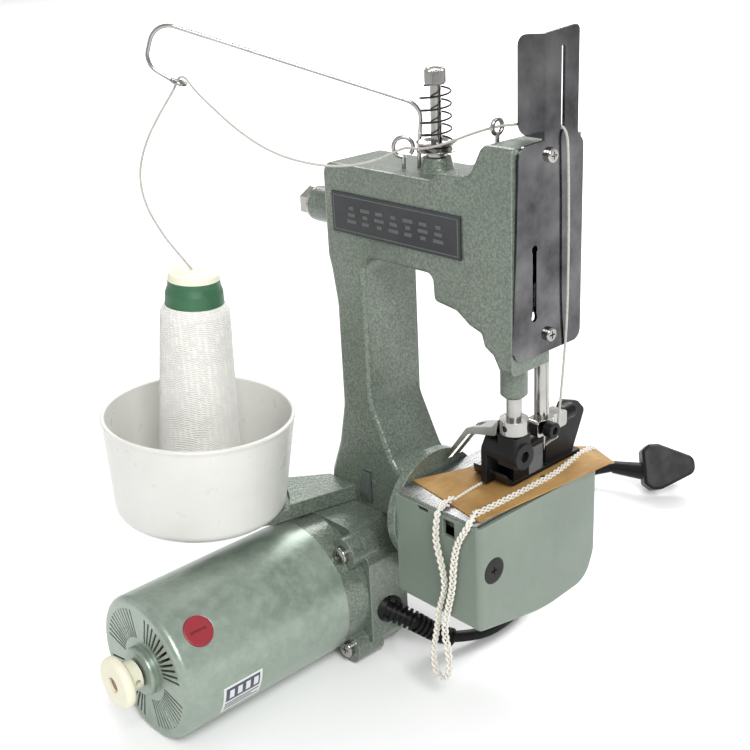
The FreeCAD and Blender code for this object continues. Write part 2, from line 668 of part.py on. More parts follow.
keep("motor_ring", shaped(motor_ring()))
screws = [aimed(screw_shape(18, 2.15, 4.6, 3), (x, D.ring_rear + 6, z), (0, -1, 0)) for x, z in EARS]
keep("motor_screws", compound(screws))

field_core = along_motor(34.4, -128, -84).cut(along_motor(21, -130, -80))
rear_winding = along_motor(32, -136, -128).cut(along_motor(23, -140, -120))
front_winding = along_motor(32, -84, -77).cut(along_motor(23, -90, -70))
keep("field_stator", compound([field_core, rear_winding, front_winding] + carbon_brushes()))


def armature():
    """Wound armature with commutator, fan, shaft and worm, turned as one profile along Y."""
    worm = []
    y = -16
    while y < 5:
        worm += [(D.worm_rad - 1.1, y), (D.worm_rad, y + 0.5), (D.worm_rad, y + 1.3),
                 (D.worm_rad - 1.1, y + 1.8)]
        y += 2.2
    profile = [
        (0, -177), (3.9, -177), (4, -150), (11, -150), (11, -138), (7, -138), (7, -134), (17, -133),
        (20, -128),
        (20, -84), (17, -79), (8, -78), (8, -73), (29, -72), (29, -66), (8, -66), (8, -64), (4, -64),
        (4, -17),
    ] + worm + [(3.9, 6), (3.9, 8.6), (0, 8.6)]
    return turned(profile, "motor_x", 0, "motor_z", "Y")


keep("armature", armature())
wheel = turned([(4, -178.5), (13.2, -178.5, 2.6), (13.2, -173.2, 2.2), (8, -172.6, 1), (7.2, -166),
                (4, -166)],
               "motor_x", 0, "motor_z", "Y")
keep("hand_wheel", cut(wheel, cylinder(1.5, 5, "motor_x + 3.6", -169.2, "motor_z", "X")))


# ---------- motor bracket with the gear case, thread stand ----------

LEAD_EXIT = V(-77.5, -34, 27)
LEAD_AIM = V(0.80, 0.52, -0.30).normalize()


def motor_bracket():
    flange, back = D.flange_y, -21
    outline = [(-143, 0, 4), (-88, 0, 4), (-77.5, 13, 4), (-77.5, 60, 5), (-92, 74.9, 6), (-139, 74.9, 6),
               (-153.5, 60, 5), (-153.5, 13, 4)]
    body = prism(outline, "XZ", flange, back - flange)
    body = body.fuse(ears(flange, flange + 9).common(box(-170, -60, -50, 0, 0, 90)))
    body = body.fuse(box(-127, -96, back - 1, D.arm_back, 20, 74.9))
    body = body.fuse(rod(9.5, (-133, D.shaft_y, D.lower_z), (-126, D.shaft_y, D.lower_z)))
    room = box(-123, -99.5, -19.5, 9, 24, 76)
    body = body.cut(room).cut(along_motor(8, flange - 1, -19))
    body = body.cut(along_motor(4 + D.turn_gap, 0, 9))
    body = body.cut(rod(7, (-134, D.shaft_y, D.lower_z), (-123, D.shaft_y, D.lower_z)))
    body = body.cut(rod(6, (-101, D.shaft_y, D.lower_z), (-95, D.shaft_y, D.lower_z)))
    for x, z in EARS:
        body = body.cut(rod(2.2, (x, flange - 1, z), (x, flange + 9.8, z)))
    inside = LEAD_EXIT - LEAD_AIM * 4
    socket = Part.makeCylinder(7.5, 16, inside - LEAD_AIM * 4, LEAD_AIM)
    body = body.cut(socket)
    return body.removeSplitter()


keep("motor_bracket", shaped(motor_bracket()))


# the spool seat leans a little towards the head
LEAN = Rotation(V(-0.743, 0.669, 0), D.spool_lean)
SEAT = V(D.spool_x, D.spool_y, D.bowl_seat)
UP_SPOOL = LEAN.multVec(V(0, 0, 1))


def leaning(body):
    """Put a piece built on the spool's axis, with z = 0 on the bowl seat, in its leaning place."""
    body.Placement = Placement(V(0, 0, 0), LEAN)
    body.setExpression("Placement.Base.x", bound("origin_x + spool_x"))
    body.setExpression("Placement.Base.y", bound("origin_y + spool_y"))
    body.setExpression("Placement.Base.z", bound("bowl_seat"))
    return body


def thread_stand():
    """Cast arm from the column foot out to the spool seat."""
    near = D.arm_front
    thick = D.stand_top - D.stand_low
    x, y = D.spool_x, D.spool_y
    arm = prism([(-133, near), (-113, near), (x + 33, y + 24, 30), (x + 22, y - 2, 4), (x, y - 16, 4),
                 (x - 20, y - 2, 4),
                 (x - 14, y + 20, 20)], "XY", D.stand_low, thick)
    arm = arm.cut(Part.makeCylinder(46, 30, SEAT, UP_SPOOL))
    seat = Part.makeCylinder(19, 7, SEAT - UP_SPOOL * 7, UP_SPOOL)
    arm = arm.fuse(seat.cut(box(-200, -100, -150, -50, 60, D.stand_low)))
    arm = arm.cut(Part.makeCylinder(4, 30, SEAT - UP_SPOOL * 20, UP_SPOOL))
    for x, z in STAND_SCREWS:
        arm = arm.cut(rod(1.6, (x, near - 6, z), (x, near + 1, z)))
    return arm.removeSplitter()


keep("thread_stand", shaped(thread_stand()))

rim, foot, high, wall = D.bowl_rim_rad, D.bowl_foot_rad, D.bowl_high, D.bowl_wall
bowl = turned([(4.1, 0), (foot, 0, 6), (rim - 0.4, high - 3, 1), (rim + 0.6, high, 0.8),
               (rim - wall, high, 0.8),
               (foot - wall, wall + 0.4, 5), (4.1, wall + 0.4)], 0, 0, 0)
keep("spool_bowl", leaning(bowl))
pin = turned([(0, -11), (4, -11), (4, 2.4), (12, 2.4), (12, 4.4), (4, 4.4), (4, 96, 1.5), (0, 98)], 0, 0, 0)
keep("spool_pin", leaning(pin))
core = turned([(5.2, 4.7), (19, 4.7), (20.5, 8), (14.2, 118), (13, 121.5), (12.6, 127.3, 1.6),
               (6, 128.8, 5), (2, 127.4, 1),
               (0, 127.4), (0, 124), (11, 123.6), (12.2, 116), (18, 8), (5.2, 8)], 0, 0, 0)
keep("cone_core", leaning(core))
wound = turned([(20.6, 10.5, 0.5), (22.5, 14, 2), (21, 30, 15), (17.2, 108, 4), (15, 112), (14.6, 112)], 0,
               0, 0)
keep("thread_package", leaning(wound))


# ---------- bed: sheet-metal cover, throat plate, looper, feed dog ----------

def bed_cover():
    """Thin cover round the bed, open on top and towards the column, with a long sloping belly."""
    left, right, near, far = D.cover_left, D.cover_right, D.cover_near, D.cover_far
    belly = [(near, 120), (near, D.cover_corner, 4), (2, 42.5, 80), (36, D.cover_low, 14), (far, 60, 14),
             (far, 120)]
    outer = prism(belly, "YZ", left, right - left)
    end_edges = [e for e in outer.Edges if e.BoundBox.XMin > right - 1e-6 and e.BoundBox.ZMin < 119]
    outer = outer.makeFillet(2.5, end_edges)
    skin = Part.Face(Part.Wire([piece.toShape() for piece in curves(belly)])).makeOffset2D(-D.cover_wall)
    inner = skin.extrude(V(0, 0, right - left))
    inner.Placement = Placement(V(left - D.cover_wall, 0, 0), PLANES["YZ"])
    cover = outer.cut(inner).cut(box(left - 5, right + 5, near - 5, far + 5, D.cover_top, 130))
    cover = cover.cut(prism([(-41.8, 104.8, 0.9), (-34.6, 104.8, 0.9), (-34.6, 106.8, 0.9),
                             (-41.8, 106.8, 0.9)],
                            "XZ", near - 1, 5))
    cover = cover.cut(box(-25, -17.6, near - 1, near + 4, 97, 105.8))
    cover = cover.cut(box(left - 1, left + 8, -22.5, 13.5, 60, 130))
    sink = Part.makeCone(3.4, 6.9, 2.1, V(right - 2.05, -35.1, 82.1), V(1, 0, 0))
    return cover.cut(sink).removeSplitter()


keep("bed_cover", shaped(bed_cover()))


def sunk_screw():
    """Black cross-recess countersunk screw, top flush with z = 0."""
    head = Part.makeCone(3.2, 6.7, 2, V(0, 0, -2)).fuse(Part.makeCylinder(2, 13, V(0, 0, -14.5)))
    slots = box(-2.2, 2.2, -0.5, 0.5, -1.2, 1).fuse(box(-0.5, 0.5, -2.2, 2.2, -1.2, 1))
    return head.cut(slots).removeSplitter()


keep("bed_cover_screw", compound([aimed(sunk_screw(), (D.cover_right, -35.1, 82.1), (1, 0, 0))]))


FEED_ROWS = (-32, -28.2, -24.4)


def throat_plate():
    low = D.cover_top
    plate = prism([(-56, -45, 3), (-4.5, -45, 3), (-4.5, 42, 3), (-56, 42, 3)], "XY", low, D.plate_top - low)
    plate = plate.cut(rod(2.5, (-12, 12.5, low - 1), (-12, 12.5, low + 5)))
    for x in FEED_ROWS:
        plate = plate.cut(prism([(x - 1.7, -10, 1.6), (x + 1.7, -10, 1.6), (x + 1.7, 33, 1.6),
                                 (x - 1.7, 33, 1.6)],
                                "XY", low - 1, 5))
    return plate


keep("throat_plate", shaped(throat_plate()))


def feed_dog():
    """Toothed carrier under the throat plate, on a round guide rod."""
    carrier = box(-33.5, -23, -4, 27, 101.3, 106.6)
    for x in FEED_ROWS:
        saw = [(-4, 106.6)]
        for k in range(10):
            saw += [(-4 + 3.1 * k, 107.9), (-1.7 + 3.1 * k, 109.2)]
        saw += [(27, 107.9), (27, 106.6)]
        carrier = carrier.fuse(prism(saw, "YZ", x - 1.2, 2.4))
    return carrier.fuse(rod(2, (FEED_X, -20.5, FEED_Z), (FEED_X, 37.5, FEED_Z))).removeSplitter()


keep("feed_dog", shaped(feed_dog()))


def looper():
    """Rocking looper blade that catches the needle's loop under the plate."""
    blade = prism([(-15, 71.5, 2.6), (-9, 71.5, 2.6), (-9.5, 92, 4), (-15.8, 99.6), (-17.4, 99.2, 0.4),
                   (-14.6, 90, 8)],
                  "XZ", 14.2, 2)
    return blade.fuse(rod(2.5, (-12, 16, 75), (-12, 23.5, 75))).removeSplitter()


keep("looper", shaped(looper()))


# ---------- needle clamp, needle, presser foot ----------

def needle_clamp():
    """Bright crosspiece pinched on the needle bar, carrying the needle."""
    clamp = prism([(2.2, 135.5, 1.5), (24, 135.5, 1.5), (24, 143.4, 1.5), (2.2, 143.4, 1.5)], "YZ", -15.4,
                  7.9)
    clamp = clamp.fuse(rod(6.2, (D.bar_x, D.needle_y, 135.5), (D.bar_x, D.needle_y, 143.4)).common(
        box(-15.4, -5, 0, 30, 130, 150)))
    return clamp.cut(rod(1.1, (-12, 12.5, 130), (-12, 12.5, 139))).removeSplitter()


keep("needle_clamp", shaped(needle_clamp()))


def socket_screw(rad, high):
    """Black socket-head screw, underside on z = 0."""
    head = Part.makeCylinder(rad, high)
    head = head.makeFillet(0.5, [e for e in head.Edges if sharp_ring(e) and e.BoundBox.ZMin > high - 1e-6])
    hexagon = Part.Face(Part.makePolygon([V(0.55 * rad * math.cos(k * math.pi / 3),
                                            0.55 * rad * math.sin(k * math.pi / 3),
                                            high - 2.4) for k in range(7)])).extrude(V(0, 0, 3))
    return head.cut(hexagon)


keep("needle_clamp_screws", compound([aimed(socket_screw(4, 8), (-11.6, 24, 139.6), (0, 1, 0)),
                                      aimed(socket_screw(3.9, 4.6), (-5.8, 7.4, 139.5), (1, 0, 0))]))
needle = turned([(0, 0), (0.35, 2.5), (0.55, 4), (0.55, 10), (1.1, 10.6), (1.1, 14.9), (0, 14.9)], -12,
                12.5, 124)
keep("needle", needle)

presser = fuse(cylinder("bar_rad", 131, "bar_x", "presser_y", 131),
               block(10.3, 2.4, 11, "bar_x", "presser_y - 1.2", 205),
               cylinder(4.6, 3, "bar_x", "presser_y", 246.5))
keep("presser_bar", presser)
keep("presser_spring", shaped(coil_spring(1, 4.7, 4.7, 22.2, 6, (D.bar_x, D.presser_y, 250.1))))


def presser_lifter():
    """Clamp on the presser bar with a forked lever that the thumb pushes up."""
    low, high = 142, 149
    clamp = rod(6.9, (D.bar_x, D.presser_y, low), (D.bar_x, D.presser_y, high))
    side = [(-18.3, low), (-18.3, low - 2.5, 2), (-36, low - 6.5, 6), (-50.5, low - 25, 0.8),
            (-52, low - 23.6, 0.8),
            (-37.3, low - 3.7, 6), (-21, high - 5.5, 3), (-17, high - 1)]
    lever = prism(side, "XZ", D.presser_y - 5.5, 11)
    lever = lever.cut(box(-60, -31, D.presser_y - 2.5, D.presser_y + 2.5, 100, 160))
    lever = lever.fuse(clamp).cut(rod(D.bar_rad, (D.bar_x, D.presser_y, low - 5),
                                      (D.bar_x, D.presser_y, high + 5)))
    return lever.cut(rod(1.5, (D.bar_x, D.presser_y - 3, 145.5),
                         (D.bar_x, D.presser_y - 9, 145.5))).removeSplitter()


keep("presser_lifter", shaped(presser_lifter()))
HINGE = (D.presser_y, 130.8)


def presser_foot():
    """Black shank clamped on the presser bar, with the knuckle that the sole rocks on."""
    y, z = HINGE
    shank = box(-18, -6.2, y - 5.6, y + 5.6, 125.5, 141)
    shank = shank.makeFillet(1.2, [e for e in shank.Edges if e.BoundBox.ZLength > 10])
    knuckle = rod(6.3, (-24.4, y, z), (-5.2, y, z))
    foot = shank.fuse(knuckle).fuse(rod(2, (-28.4, y, z), (-20, y, z)))
    foot = foot.cut(rod(D.bar_rad, (D.bar_x, y, z + 0.2), (D.bar_x, y, 150)))
    hexagon = Part.Face(Part.makePolygon([V(-8.2, y + 3 * math.cos(k * math.pi / 3),
                                            z + 3 * math.sin(k * math.pi / 3))
                                          for k in range(7)])).extrude(V(4, 0, 0))
    return foot.cut(hexagon).removeSplitter()


keep("presser_foot", shaped(presser_foot()))


def foot_sole():
    """Sole with its turned-up toe, riser, hinge lug and the tall guard plate beside the needle."""
    y, z = HINGE
    sole = prism([(-12.5, 117.4), (-11.6, 118.5), (-6.5, 112.4, 5), (45, 112.4), (45, 110.6),
                  (-7.5, 110.6, 5)],
                 "YZ", -40, 24.5)
    sole = sole.cut(prism([(-41, -13), (-35, -13), (-41, -5)], "XY", 100, 30))
    riser = box(-24, -16, -5, 6, 112, 123.3)
    lug = prism([(y - 5.5, 112, 1), (y + 11, 112), (y + 6, z, 4), (y + 1.8, z + 6, 2), (y - 1.8, z + 6, 2),
                 (y - 5.5, z, 4)],
                "YZ", -28, 3.2)
    lug = lug.cut(rod(2 + D.turn_gap, (-30, y, z), (-24, y, z)))
    bar = rod(3, (-19.2, 0.5, 127.2), (-19.2, 22, 127.2))
    tie = box(-24, -16.6, 0.5, 5, 123, 127)
    guard = prism([(20, 112), (40.5, 112), (50, 132.5, 3), (44.5, 138.5, 3), (32.5, 143, 3), (20, 127, 2)],
                  "YZ", -19, 2.2)
    return sole.fuse(riser).fuse(lug).fuse(bar).fuse(tie).fuse(guard).removeSplitter()


keep("foot_sole", shaped(foot_sole()))


# ---------- trigger and switch ----------

def trigger():
    """Finger lever of the motor switch, swinging on a cross pin at its top."""
    lever = prism([(-21.2, 96 - 0.6, 1), (-21.2, 78, 0.8), (-24.4, 78, 1.2), (-26.2, 84, 6), (-24.8, 92, 3),
                   (-24, 95.4, 1)], "YZ", -105.4, 5.8)
    return lever.fuse(rod(1.2, (-107.6, -21.6, 92), (-96.6, -21.6, 92))).removeSplitter()


keep("trigger", shaped(trigger()))
keep("switch_block", block(6.4, 3, 12, -105.4, -18.9, 78.5))


# ---------- test strip on the plate ----------

def test_strip():
    """Folded kraft strip lying on the throat plate and drooping over its far edge."""
    sheet = prism([(-57, -33), (-5, -42), (3.4, 48.9), (-20, 61.8)], "XY", 80, 60)
    low, high = D.plate_top + 0.02, D.plate_top + 0.6
    bend = prism([(-60, low), (45, low), (66, low - 5), (66, high - 5), (45, high), (-60, high)], "YZ",
                 -70, 80)
    return sheet.common(bend).cut(rod(2, (-12, 12.5, 90), (-12, 12.5, 130)))


keep("test_strip", shaped(test_strip()))


# ---------- strain relief, mains lead, coil, plug ----------

RELIEF = [tuple(LEAD_EXIT - LEAD_AIM * 7.8), (-67, -26.5, 20.2), (-60.2, -17.2, 11.4), (-56, -10.5, 7.5)]
LEAD = [(-56, -10.5, 7.5), (-50.5, 3, 3.9), (-48.5, 19, 3.2), (-51, 37.5, 3.2), (-58.5, 56.5, 3.2),
        (-66.8, 74, 3.2)]
TAIL = [(-105.5, 133.4, 6.4), (-118, 141.5, 4), (-126.3, 153.3, 3.3), (-129, 168, 3.2), (-126.5, 182.3, 5),
        (-118.2, 193.4, 8.8), (-105.6, 200.6, 12.9)]


def along_path(points, spacing, start):
    """Points and directions at equal steps along a route of straight runs."""
    points = [V(*p) for p in points]
    left = start
    for here, there in zip(points, points[1:]):
        run = there - here
        long = run.Length
        run.normalize()
        while left < long:
            yield here + run * left, run
            left += spacing
        left -= long


def strain_relief():
    """Ribbed rubber sleeve that carries the lead out of the bracket."""
    relief = bent(RELIEF, 4.1, "strain_relief")
    places = list(along_path(RELIEF, 3, 9))
    for k, (at, run) in enumerate(places):
        taper = k / (len(places) - 1)
        relief = relief.fuse(Part.makeCylinder(5.9 - 1.1 * taper, 1.5, at, run))
    base = V(*RELIEF[0])
    return relief.fuse(Part.makeCylinder(7.4, 6, base, LEAD_AIM))


keep("strain_relief", shaped(strain_relief()))
keep("mains_lead", shaped(bent(LEAD, D.lead_rad, "mains_lead")))
ring = cut(cylinder("coil_mid + coil_half", 12.8, "coil_x", "coil_y", 0),
           cylinder("coil_mid - coil_half", 14, "coil_x", "coil_y", -0.5))
keep("lead_coil", ring)
keep("lead_tail", shaped(bent(TAIL, D.lead_rad, "lead_tail")))

PLUG_ALONG = V(0.667, 0.745, 0).normalize()
PLUG_FACE = V(0.6386, -0.5717, 0.515).normalize()
PLUG_HALF, PLUG_PIN = 15, 15


def plug():
    """Three-pin moulded plug with a flat triangular back, resting on an edge and its pins."""
    across = PLUG_FACE.cross(PLUG_ALONG)
    turn = FreeCAD.Matrix(PLUG_ALONG.x, across.x, PLUG_FACE.x, 0, PLUG_ALONG.y, across.y, PLUG_FACE.y, 0,
                          PLUG_ALONG.z, across.z, PLUG_FACE.z, 0, 0, 0, 0, 1)
    outline = [(0, -11, 3), (5, -15, 2), (11, -15, 4), (34, -5, 6), (34, 5, 6), (11, 15, 4), (5, 15, 2),
               (0, 11, 3)]
    body = prism(outline, "XY", 0, 12)
    body = body.makeChamfer(1.6, [e for e in body.Edges if e.BoundBox.ZMin > 11.9])
    for a, b, lean in ((10, -6, 30), (10, 6, -30), (24, 0, 90)):
        pin = box(-3.1, 3.1, -0.8, 0.8, -PLUG_PIN, 1)
        pin.rotate(V(0, 0, 0), V(0, 0, 1), lean + 90)
        pin.translate(V(a, b, 0))
        body = body.fuse(pin)
    body.Placement = Placement(turn)
    body.translate(V(-88.5, 206.2, 0.05 - body.BoundBox.ZMin))
    entry = V(*TAIL[-1])
    heart = V(-88.5, 206.2, 0) + PLUG_ALONG * 5 + PLUG_FACE * 6
    heart.z = entry.z + 2.2
    neck = heart - entry
    sleeve = Part.makeCone(4.2, 6, neck.Length, entry, neck)
    return body.fuse(sleeve)


keep("plug", shaped(plug()))


# ---------- sewing thread and the chain it has sewn ----------

SLACK = [(-150.2, -86.5, 213), (-154, -89.5, 219.5), (-161, -93.8, 230), (-168.5, -97, 244),
         (-170.5, -97.5, 259),
         (-164, -95.5, 275), (-156.5, -90, 289), (-150, -85.6, 299), (-147.4, -84.2, 304.6),
         (-144.6, -82.6, 304.6),
         (-141, -81.4, 299.4), (-134, -77, 291), (-124, -69.5, 279), (-112, -60, 269), (-99, -48, 263.5),
         (-90, -35, 261.5), (-82.5, -23, 263.4), (-78.2, -12, 267.4)]
TAUT = [(-78.2, -12, 267.4), (-71, -14, 268.9), (-61.5, -14.8, 269.3), (-50, -12.4, 272.5), (-34, -9.6, 279),
        (-22.4, -7.2, 282.6), (-16.8, -1.2, 283), (-8, 5.6, 283.2), (-0.8, 8.5, 283), (2.1, 9, 279),
        (2.2, 9.6, 270),
        (2.2, 10.4, 252), (2.2, 10.8, 226), (1.9, 11, 196), (-1, 12, 164), (-5.4, 13.8, 133)]
CHAIN = [(-27, -36.5, 112), (-26.4, -46.5, 112.2), (-26.4, -48.6, 103.5), (-27.6, -48, 93), (-23.6, -48, 81),
         (-21.8, -48, 70), (-26.6, -48, 57), (-28.2, -48, 45), (-31.4, -48, 31), (-31, -48, 19.5),
         (-25.8, -48, 15.5),
         (-20.6, -48, 20.5), (-20.6, -48, 33), (-23.8, -48, 45), (-20.6, -48, 59), (-17.2, -48, 72),
         (-16.4, -48, 84),
         (-14, -48, 97), (-7, -48.6, 108), (-5.2, -46.8, 113), (-9.5, -39.5, 112.2)]
keep("thread_slack", shaped(bent(SLACK, D.thread_rad, "thread_slack")))
keep("thread_taut", shaped(bent(TAUT, D.thread_rad, "thread_taut")))
keep("chain_tail", shaped(bent(CHAIN, 1.7, "chain_tail")))


# ---------- check and export ----------

doc.recompute()
for thing in doc.Objects:
    if "Invalid" in thing.State or "Error" in thing.State:
        raise RuntimeError(f"{thing.Label} failed: {thing.State}")
broken = [label for label, thing in PARTS.items() if thing.Shape.isNull() or not thing.Shape.isValid()]
if broken:
    raise RuntimeError(f"no valid shape: {broken}")

CORDS = ("mains_lead", "lead_coil", "lead_tail", "plug", "thread_slack", "thread_taut", "chain_tail")
extent = FreeCAD.BoundBox()
for label, thing in PARTS.items():
    if label not in CORDS:
        extent.add(thing.Shape.optimalBoundingBox(True, False))
print("nodes", len(PARTS), "middle", round(extent.Center.x, 2), round(extent.Center.y, 2), "low",
      round(extent.ZMin, 3),
      "size", round(extent.XLength, 1), round(extent.YLength, 1), round(extent.ZLength, 1))

os.makedirs("parts", exist_ok=True)
for label, thing in PARTS.items():
    thing.Shape.exportStep(f"parts/{label}.step")
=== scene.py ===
import json
import math

import bpy
from mathutils import Matrix, Vector


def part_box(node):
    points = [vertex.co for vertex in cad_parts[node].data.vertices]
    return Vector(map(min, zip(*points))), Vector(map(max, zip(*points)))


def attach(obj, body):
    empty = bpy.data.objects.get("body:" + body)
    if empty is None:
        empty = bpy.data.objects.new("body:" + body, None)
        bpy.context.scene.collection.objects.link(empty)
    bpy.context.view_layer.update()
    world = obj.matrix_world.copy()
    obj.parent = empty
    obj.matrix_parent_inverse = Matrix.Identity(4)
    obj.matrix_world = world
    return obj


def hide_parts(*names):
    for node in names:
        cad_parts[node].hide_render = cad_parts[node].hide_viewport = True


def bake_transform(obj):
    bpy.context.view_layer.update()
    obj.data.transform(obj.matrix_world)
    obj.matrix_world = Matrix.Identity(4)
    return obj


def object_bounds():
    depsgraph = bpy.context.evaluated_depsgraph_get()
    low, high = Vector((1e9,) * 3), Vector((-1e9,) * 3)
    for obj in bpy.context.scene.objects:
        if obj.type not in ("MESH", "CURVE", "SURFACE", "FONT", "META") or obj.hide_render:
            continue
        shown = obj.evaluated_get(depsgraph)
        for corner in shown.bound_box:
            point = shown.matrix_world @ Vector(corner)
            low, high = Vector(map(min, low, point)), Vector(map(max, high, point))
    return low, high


# Portable chain-stitch bag closer. Lengths are metres, angles radians unless a comment says degrees.
# "Machine" points are counted from the outer face of the face plate (x), the middle of the
# casting's head (y) and the bench (z).

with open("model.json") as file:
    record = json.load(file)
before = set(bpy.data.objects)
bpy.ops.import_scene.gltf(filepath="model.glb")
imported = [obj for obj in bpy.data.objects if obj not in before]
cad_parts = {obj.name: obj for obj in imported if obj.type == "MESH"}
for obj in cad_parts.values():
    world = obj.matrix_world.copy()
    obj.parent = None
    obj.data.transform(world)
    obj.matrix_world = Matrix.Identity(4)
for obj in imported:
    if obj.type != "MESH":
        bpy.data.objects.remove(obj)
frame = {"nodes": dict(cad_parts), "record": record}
CAD_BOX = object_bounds()
SHAFT_ASIDE = 0.0055  # the upper shaft's axis lies this far from the middle of the head


def node_middle(node):
    low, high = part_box(node)
    return (low + high) / 2


# the machine points' origin in the frame that every piece shares, read from two CAD nodes
ORIGIN = Vector((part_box("face_plate")[1].x, node_middle("upper_shaft").y + SHAFT_ASIDE, 0))
MOTOR_AXIS = Vector((node_middle("motor_shell").x, 0, node_middle("motor_shell").z))


def at(x, y, z):
    """Shared-frame point of a machine point."""
    return ORIGIN + Vector((x, y, z))


# ---------------------------------------------------------------- materials

class Nodes:
    """Short names for building one material's node tree."""

    def __init__(self, name):
        self.material = bpy.data.materials.new(name)
        self.material.use_nodes = True
        self.tree = self.material.node_tree
        self.shader = self.tree.nodes["Principled BSDF"]
        self.place = self.add("ShaderNodeTexCoord").outputs["Object"]

    def add(self, kind, **values):
        node = self.tree.nodes.new(kind)
        for key, value in values.items():
            if key in node.inputs:
                node.inputs[key].default_value = value
            else:
                setattr(node, key, value)
        return node

    def link(self, source, target):
        self.tree.links.new(source, target)

    def set(self, **values):
        for key, value in values.items():
            self.shader.inputs[key.replace("_", " ")].default_value = value

    def stretched(self, factors):
        mapping = self.add("ShaderNodeMapping")
        mapping.inputs["Scale"].default_value = factors
        self.link(self.place, mapping.inputs["Vector"])
        return mapping.outputs["Vector"]

    def noise(self, scale, detail=4.0, rough=0.55, vector=None):
        node = self.add("ShaderNodeTexNoise", Scale=scale, Detail=detail, Roughness=rough)
        self.link(vector or self.place, node.inputs["Vector"])
        return node.outputs["Fac"]

    def cells(self, scale, feature="F1", output="Distance", vector=None):
        node = self.add("ShaderNodeTexVoronoi", Scale=scale, feature=feature)
        self.link(vector or self.place, node.inputs["Vector"])
        return node.outputs[output]

    def spread(self, source, low, high, to_low=0.0, to_high=1.0):
        node = self.add("ShaderNodeMapRange")
        for key, value in zip(("From Min", "From Max", "To Min", "To Max"), (low, high, to_low, to_high)):
            node.inputs[key].default_value = value
        self.link(source, node.inputs["Value"])
        return node.outputs["Result"]

    def maths(self, operation, first, second):
        node = self.add("ShaderNodeMath", operation=operation)
        for socket, value in zip(node.inputs, (first, second)):
            if isinstance(value, (int, float)):
                socket.default_value = value
            else:
                self.link(value, socket)
        return node.outputs["Value"]

    def between(self, mask, first, second):
        """Colour that goes from first to second as the mask goes from 0 to 1."""
        node = self.add("ShaderNodeMix", data_type="RGBA")
        for index, value in ((6, first), (7, second)):
            if isinstance(value, tuple):
                node.inputs[index].default_value = (*value, 1)
            else:
                self.link(value, node.inputs[index])
        self.link(mask, node.inputs[0])
        return node.outputs[2]

    def edges(self, radius):
        """Mask for a painted highlight along outer and inner edges: 0 on a face and 1 on a sharp edge."""
        soft = self.add("ShaderNodeBevel", samples=4, Radius=radius)
        flat = self.add("ShaderNodeNewGeometry")
        dot = self.add("ShaderNodeVectorMath", operation="DOT_PRODUCT")
        self.link(soft.outputs["Normal"], dot.inputs[0])
        self.link(flat.outputs["Normal"], dot.inputs[1])
        return self.spread(dot.outputs["Value"], 0.985, 0.85)

    def relief(self, height, strength, depth, rounded=0.0004):
        """Bump from a height, over edges rounded for light only."""
        bump = self.add("ShaderNodeBump", Strength=strength, Distance=depth)
        self.link(height, bump.inputs["Height"])
        if rounded:
            soft = self.add("ShaderNodeBevel", samples=4, Radius=rounded)
            self.link(soft.outputs["Normal"], bump.inputs["Normal"])
        self.link(bump.outputs["Normal"], self.shader.inputs["Normal"])

    def colour(self, source):
        self.link(source, self.shader.inputs["Base Color"])

    def roughness(self, source):
        self.link(source, self.shader.inputs["Roughness"])


def hammered_enamel():
    """Stoving enamel with fine hammer texture over a cast surface."""
    n = Nodes("hammered_enamel")
    dimples = n.cells(900, "SMOOTH_F1")
    casting = n.noise(70, 5)
    tone = n.between(n.spread(n.noise(28, 6), 0.3, 0.7), (0.150, 0.182, 0.146), (0.222, 0.262, 0.212))
    fleck = n.between(n.spread(dimples, 0.1, 0.6), tone, (0.105, 0.130, 0.103))
    # the paler green mixed in along the edges is a painted highlight
    n.colour(n.between(n.maths("MULTIPLY", n.edges(0.0009), 0.45), fleck, (0.38, 0.43, 0.385)))
    n.roughness(n.spread(n.noise(150, 3), 0.3, 0.7, 0.26, 0.42))
    n.set(Metallic=0.25, Coat_Weight=0.35, Coat_Roughness=0.18)
    n.relief(n.maths("ADD", n.maths("MULTIPLY", dimples, 0.7), casting), 0.5, 0.0005, 0.0007)
    return n.material


def motor_enamel():
    """Satin metallic enamel on the drawn motor tube, finely mottled."""
    n = Nodes("motor_enamel")
    mottle = n.noise(170, 5, 0.65)
    tone = n.between(n.spread(n.noise(14, 5), 0.3, 0.7), (0.215, 0.270, 0.222), (0.300, 0.360, 0.305))
    tone = n.between(n.spread(mottle, 0.4, 0.65, 0.0, 0.35), tone, (0.42, 0.48, 0.42))
    # the paler green mixed in along the edges is a painted highlight
    n.colour(n.between(n.maths("MULTIPLY", n.edges(0.0007), 0.5), tone, (0.50, 0.56, 0.50)))
    n.roughness(n.spread(mottle, 0.3, 0.7, 0.30, 0.44))
    n.set(Metallic=0.55, Coat_Weight=0.2, Coat_Roughness=0.25)
    n.relief(n.maths("ADD", mottle, n.cells(900)), 0.2, 0.0002, 0.0005)
    return n.material


def cover_paint():
    """Smooth satin paint on folded sheet."""
    n = Nodes("cover_paint")
    tone = n.between(n.spread(n.noise(20, 6), 0.3, 0.7), (0.150, 0.186, 0.152), (0.190, 0.230, 0.189))
    # the paler green mixed in along the edges is a painted highlight
    n.colour(n.between(n.maths("MULTIPLY", n.edges(0.0008), 0.6), tone, (0.36, 0.41, 0.37)))
    n.roughness(n.spread(n.noise(240, 3), 0.3, 0.7, 0.36, 0.48))
    n.set(Metallic=0.12, Coat_Weight=0.15, Coat_Roughness=0.3)
    n.relief(n.cells(1100, "SMOOTH_F1"), 0.12, 0.00018, 0.0006)
    return n.material


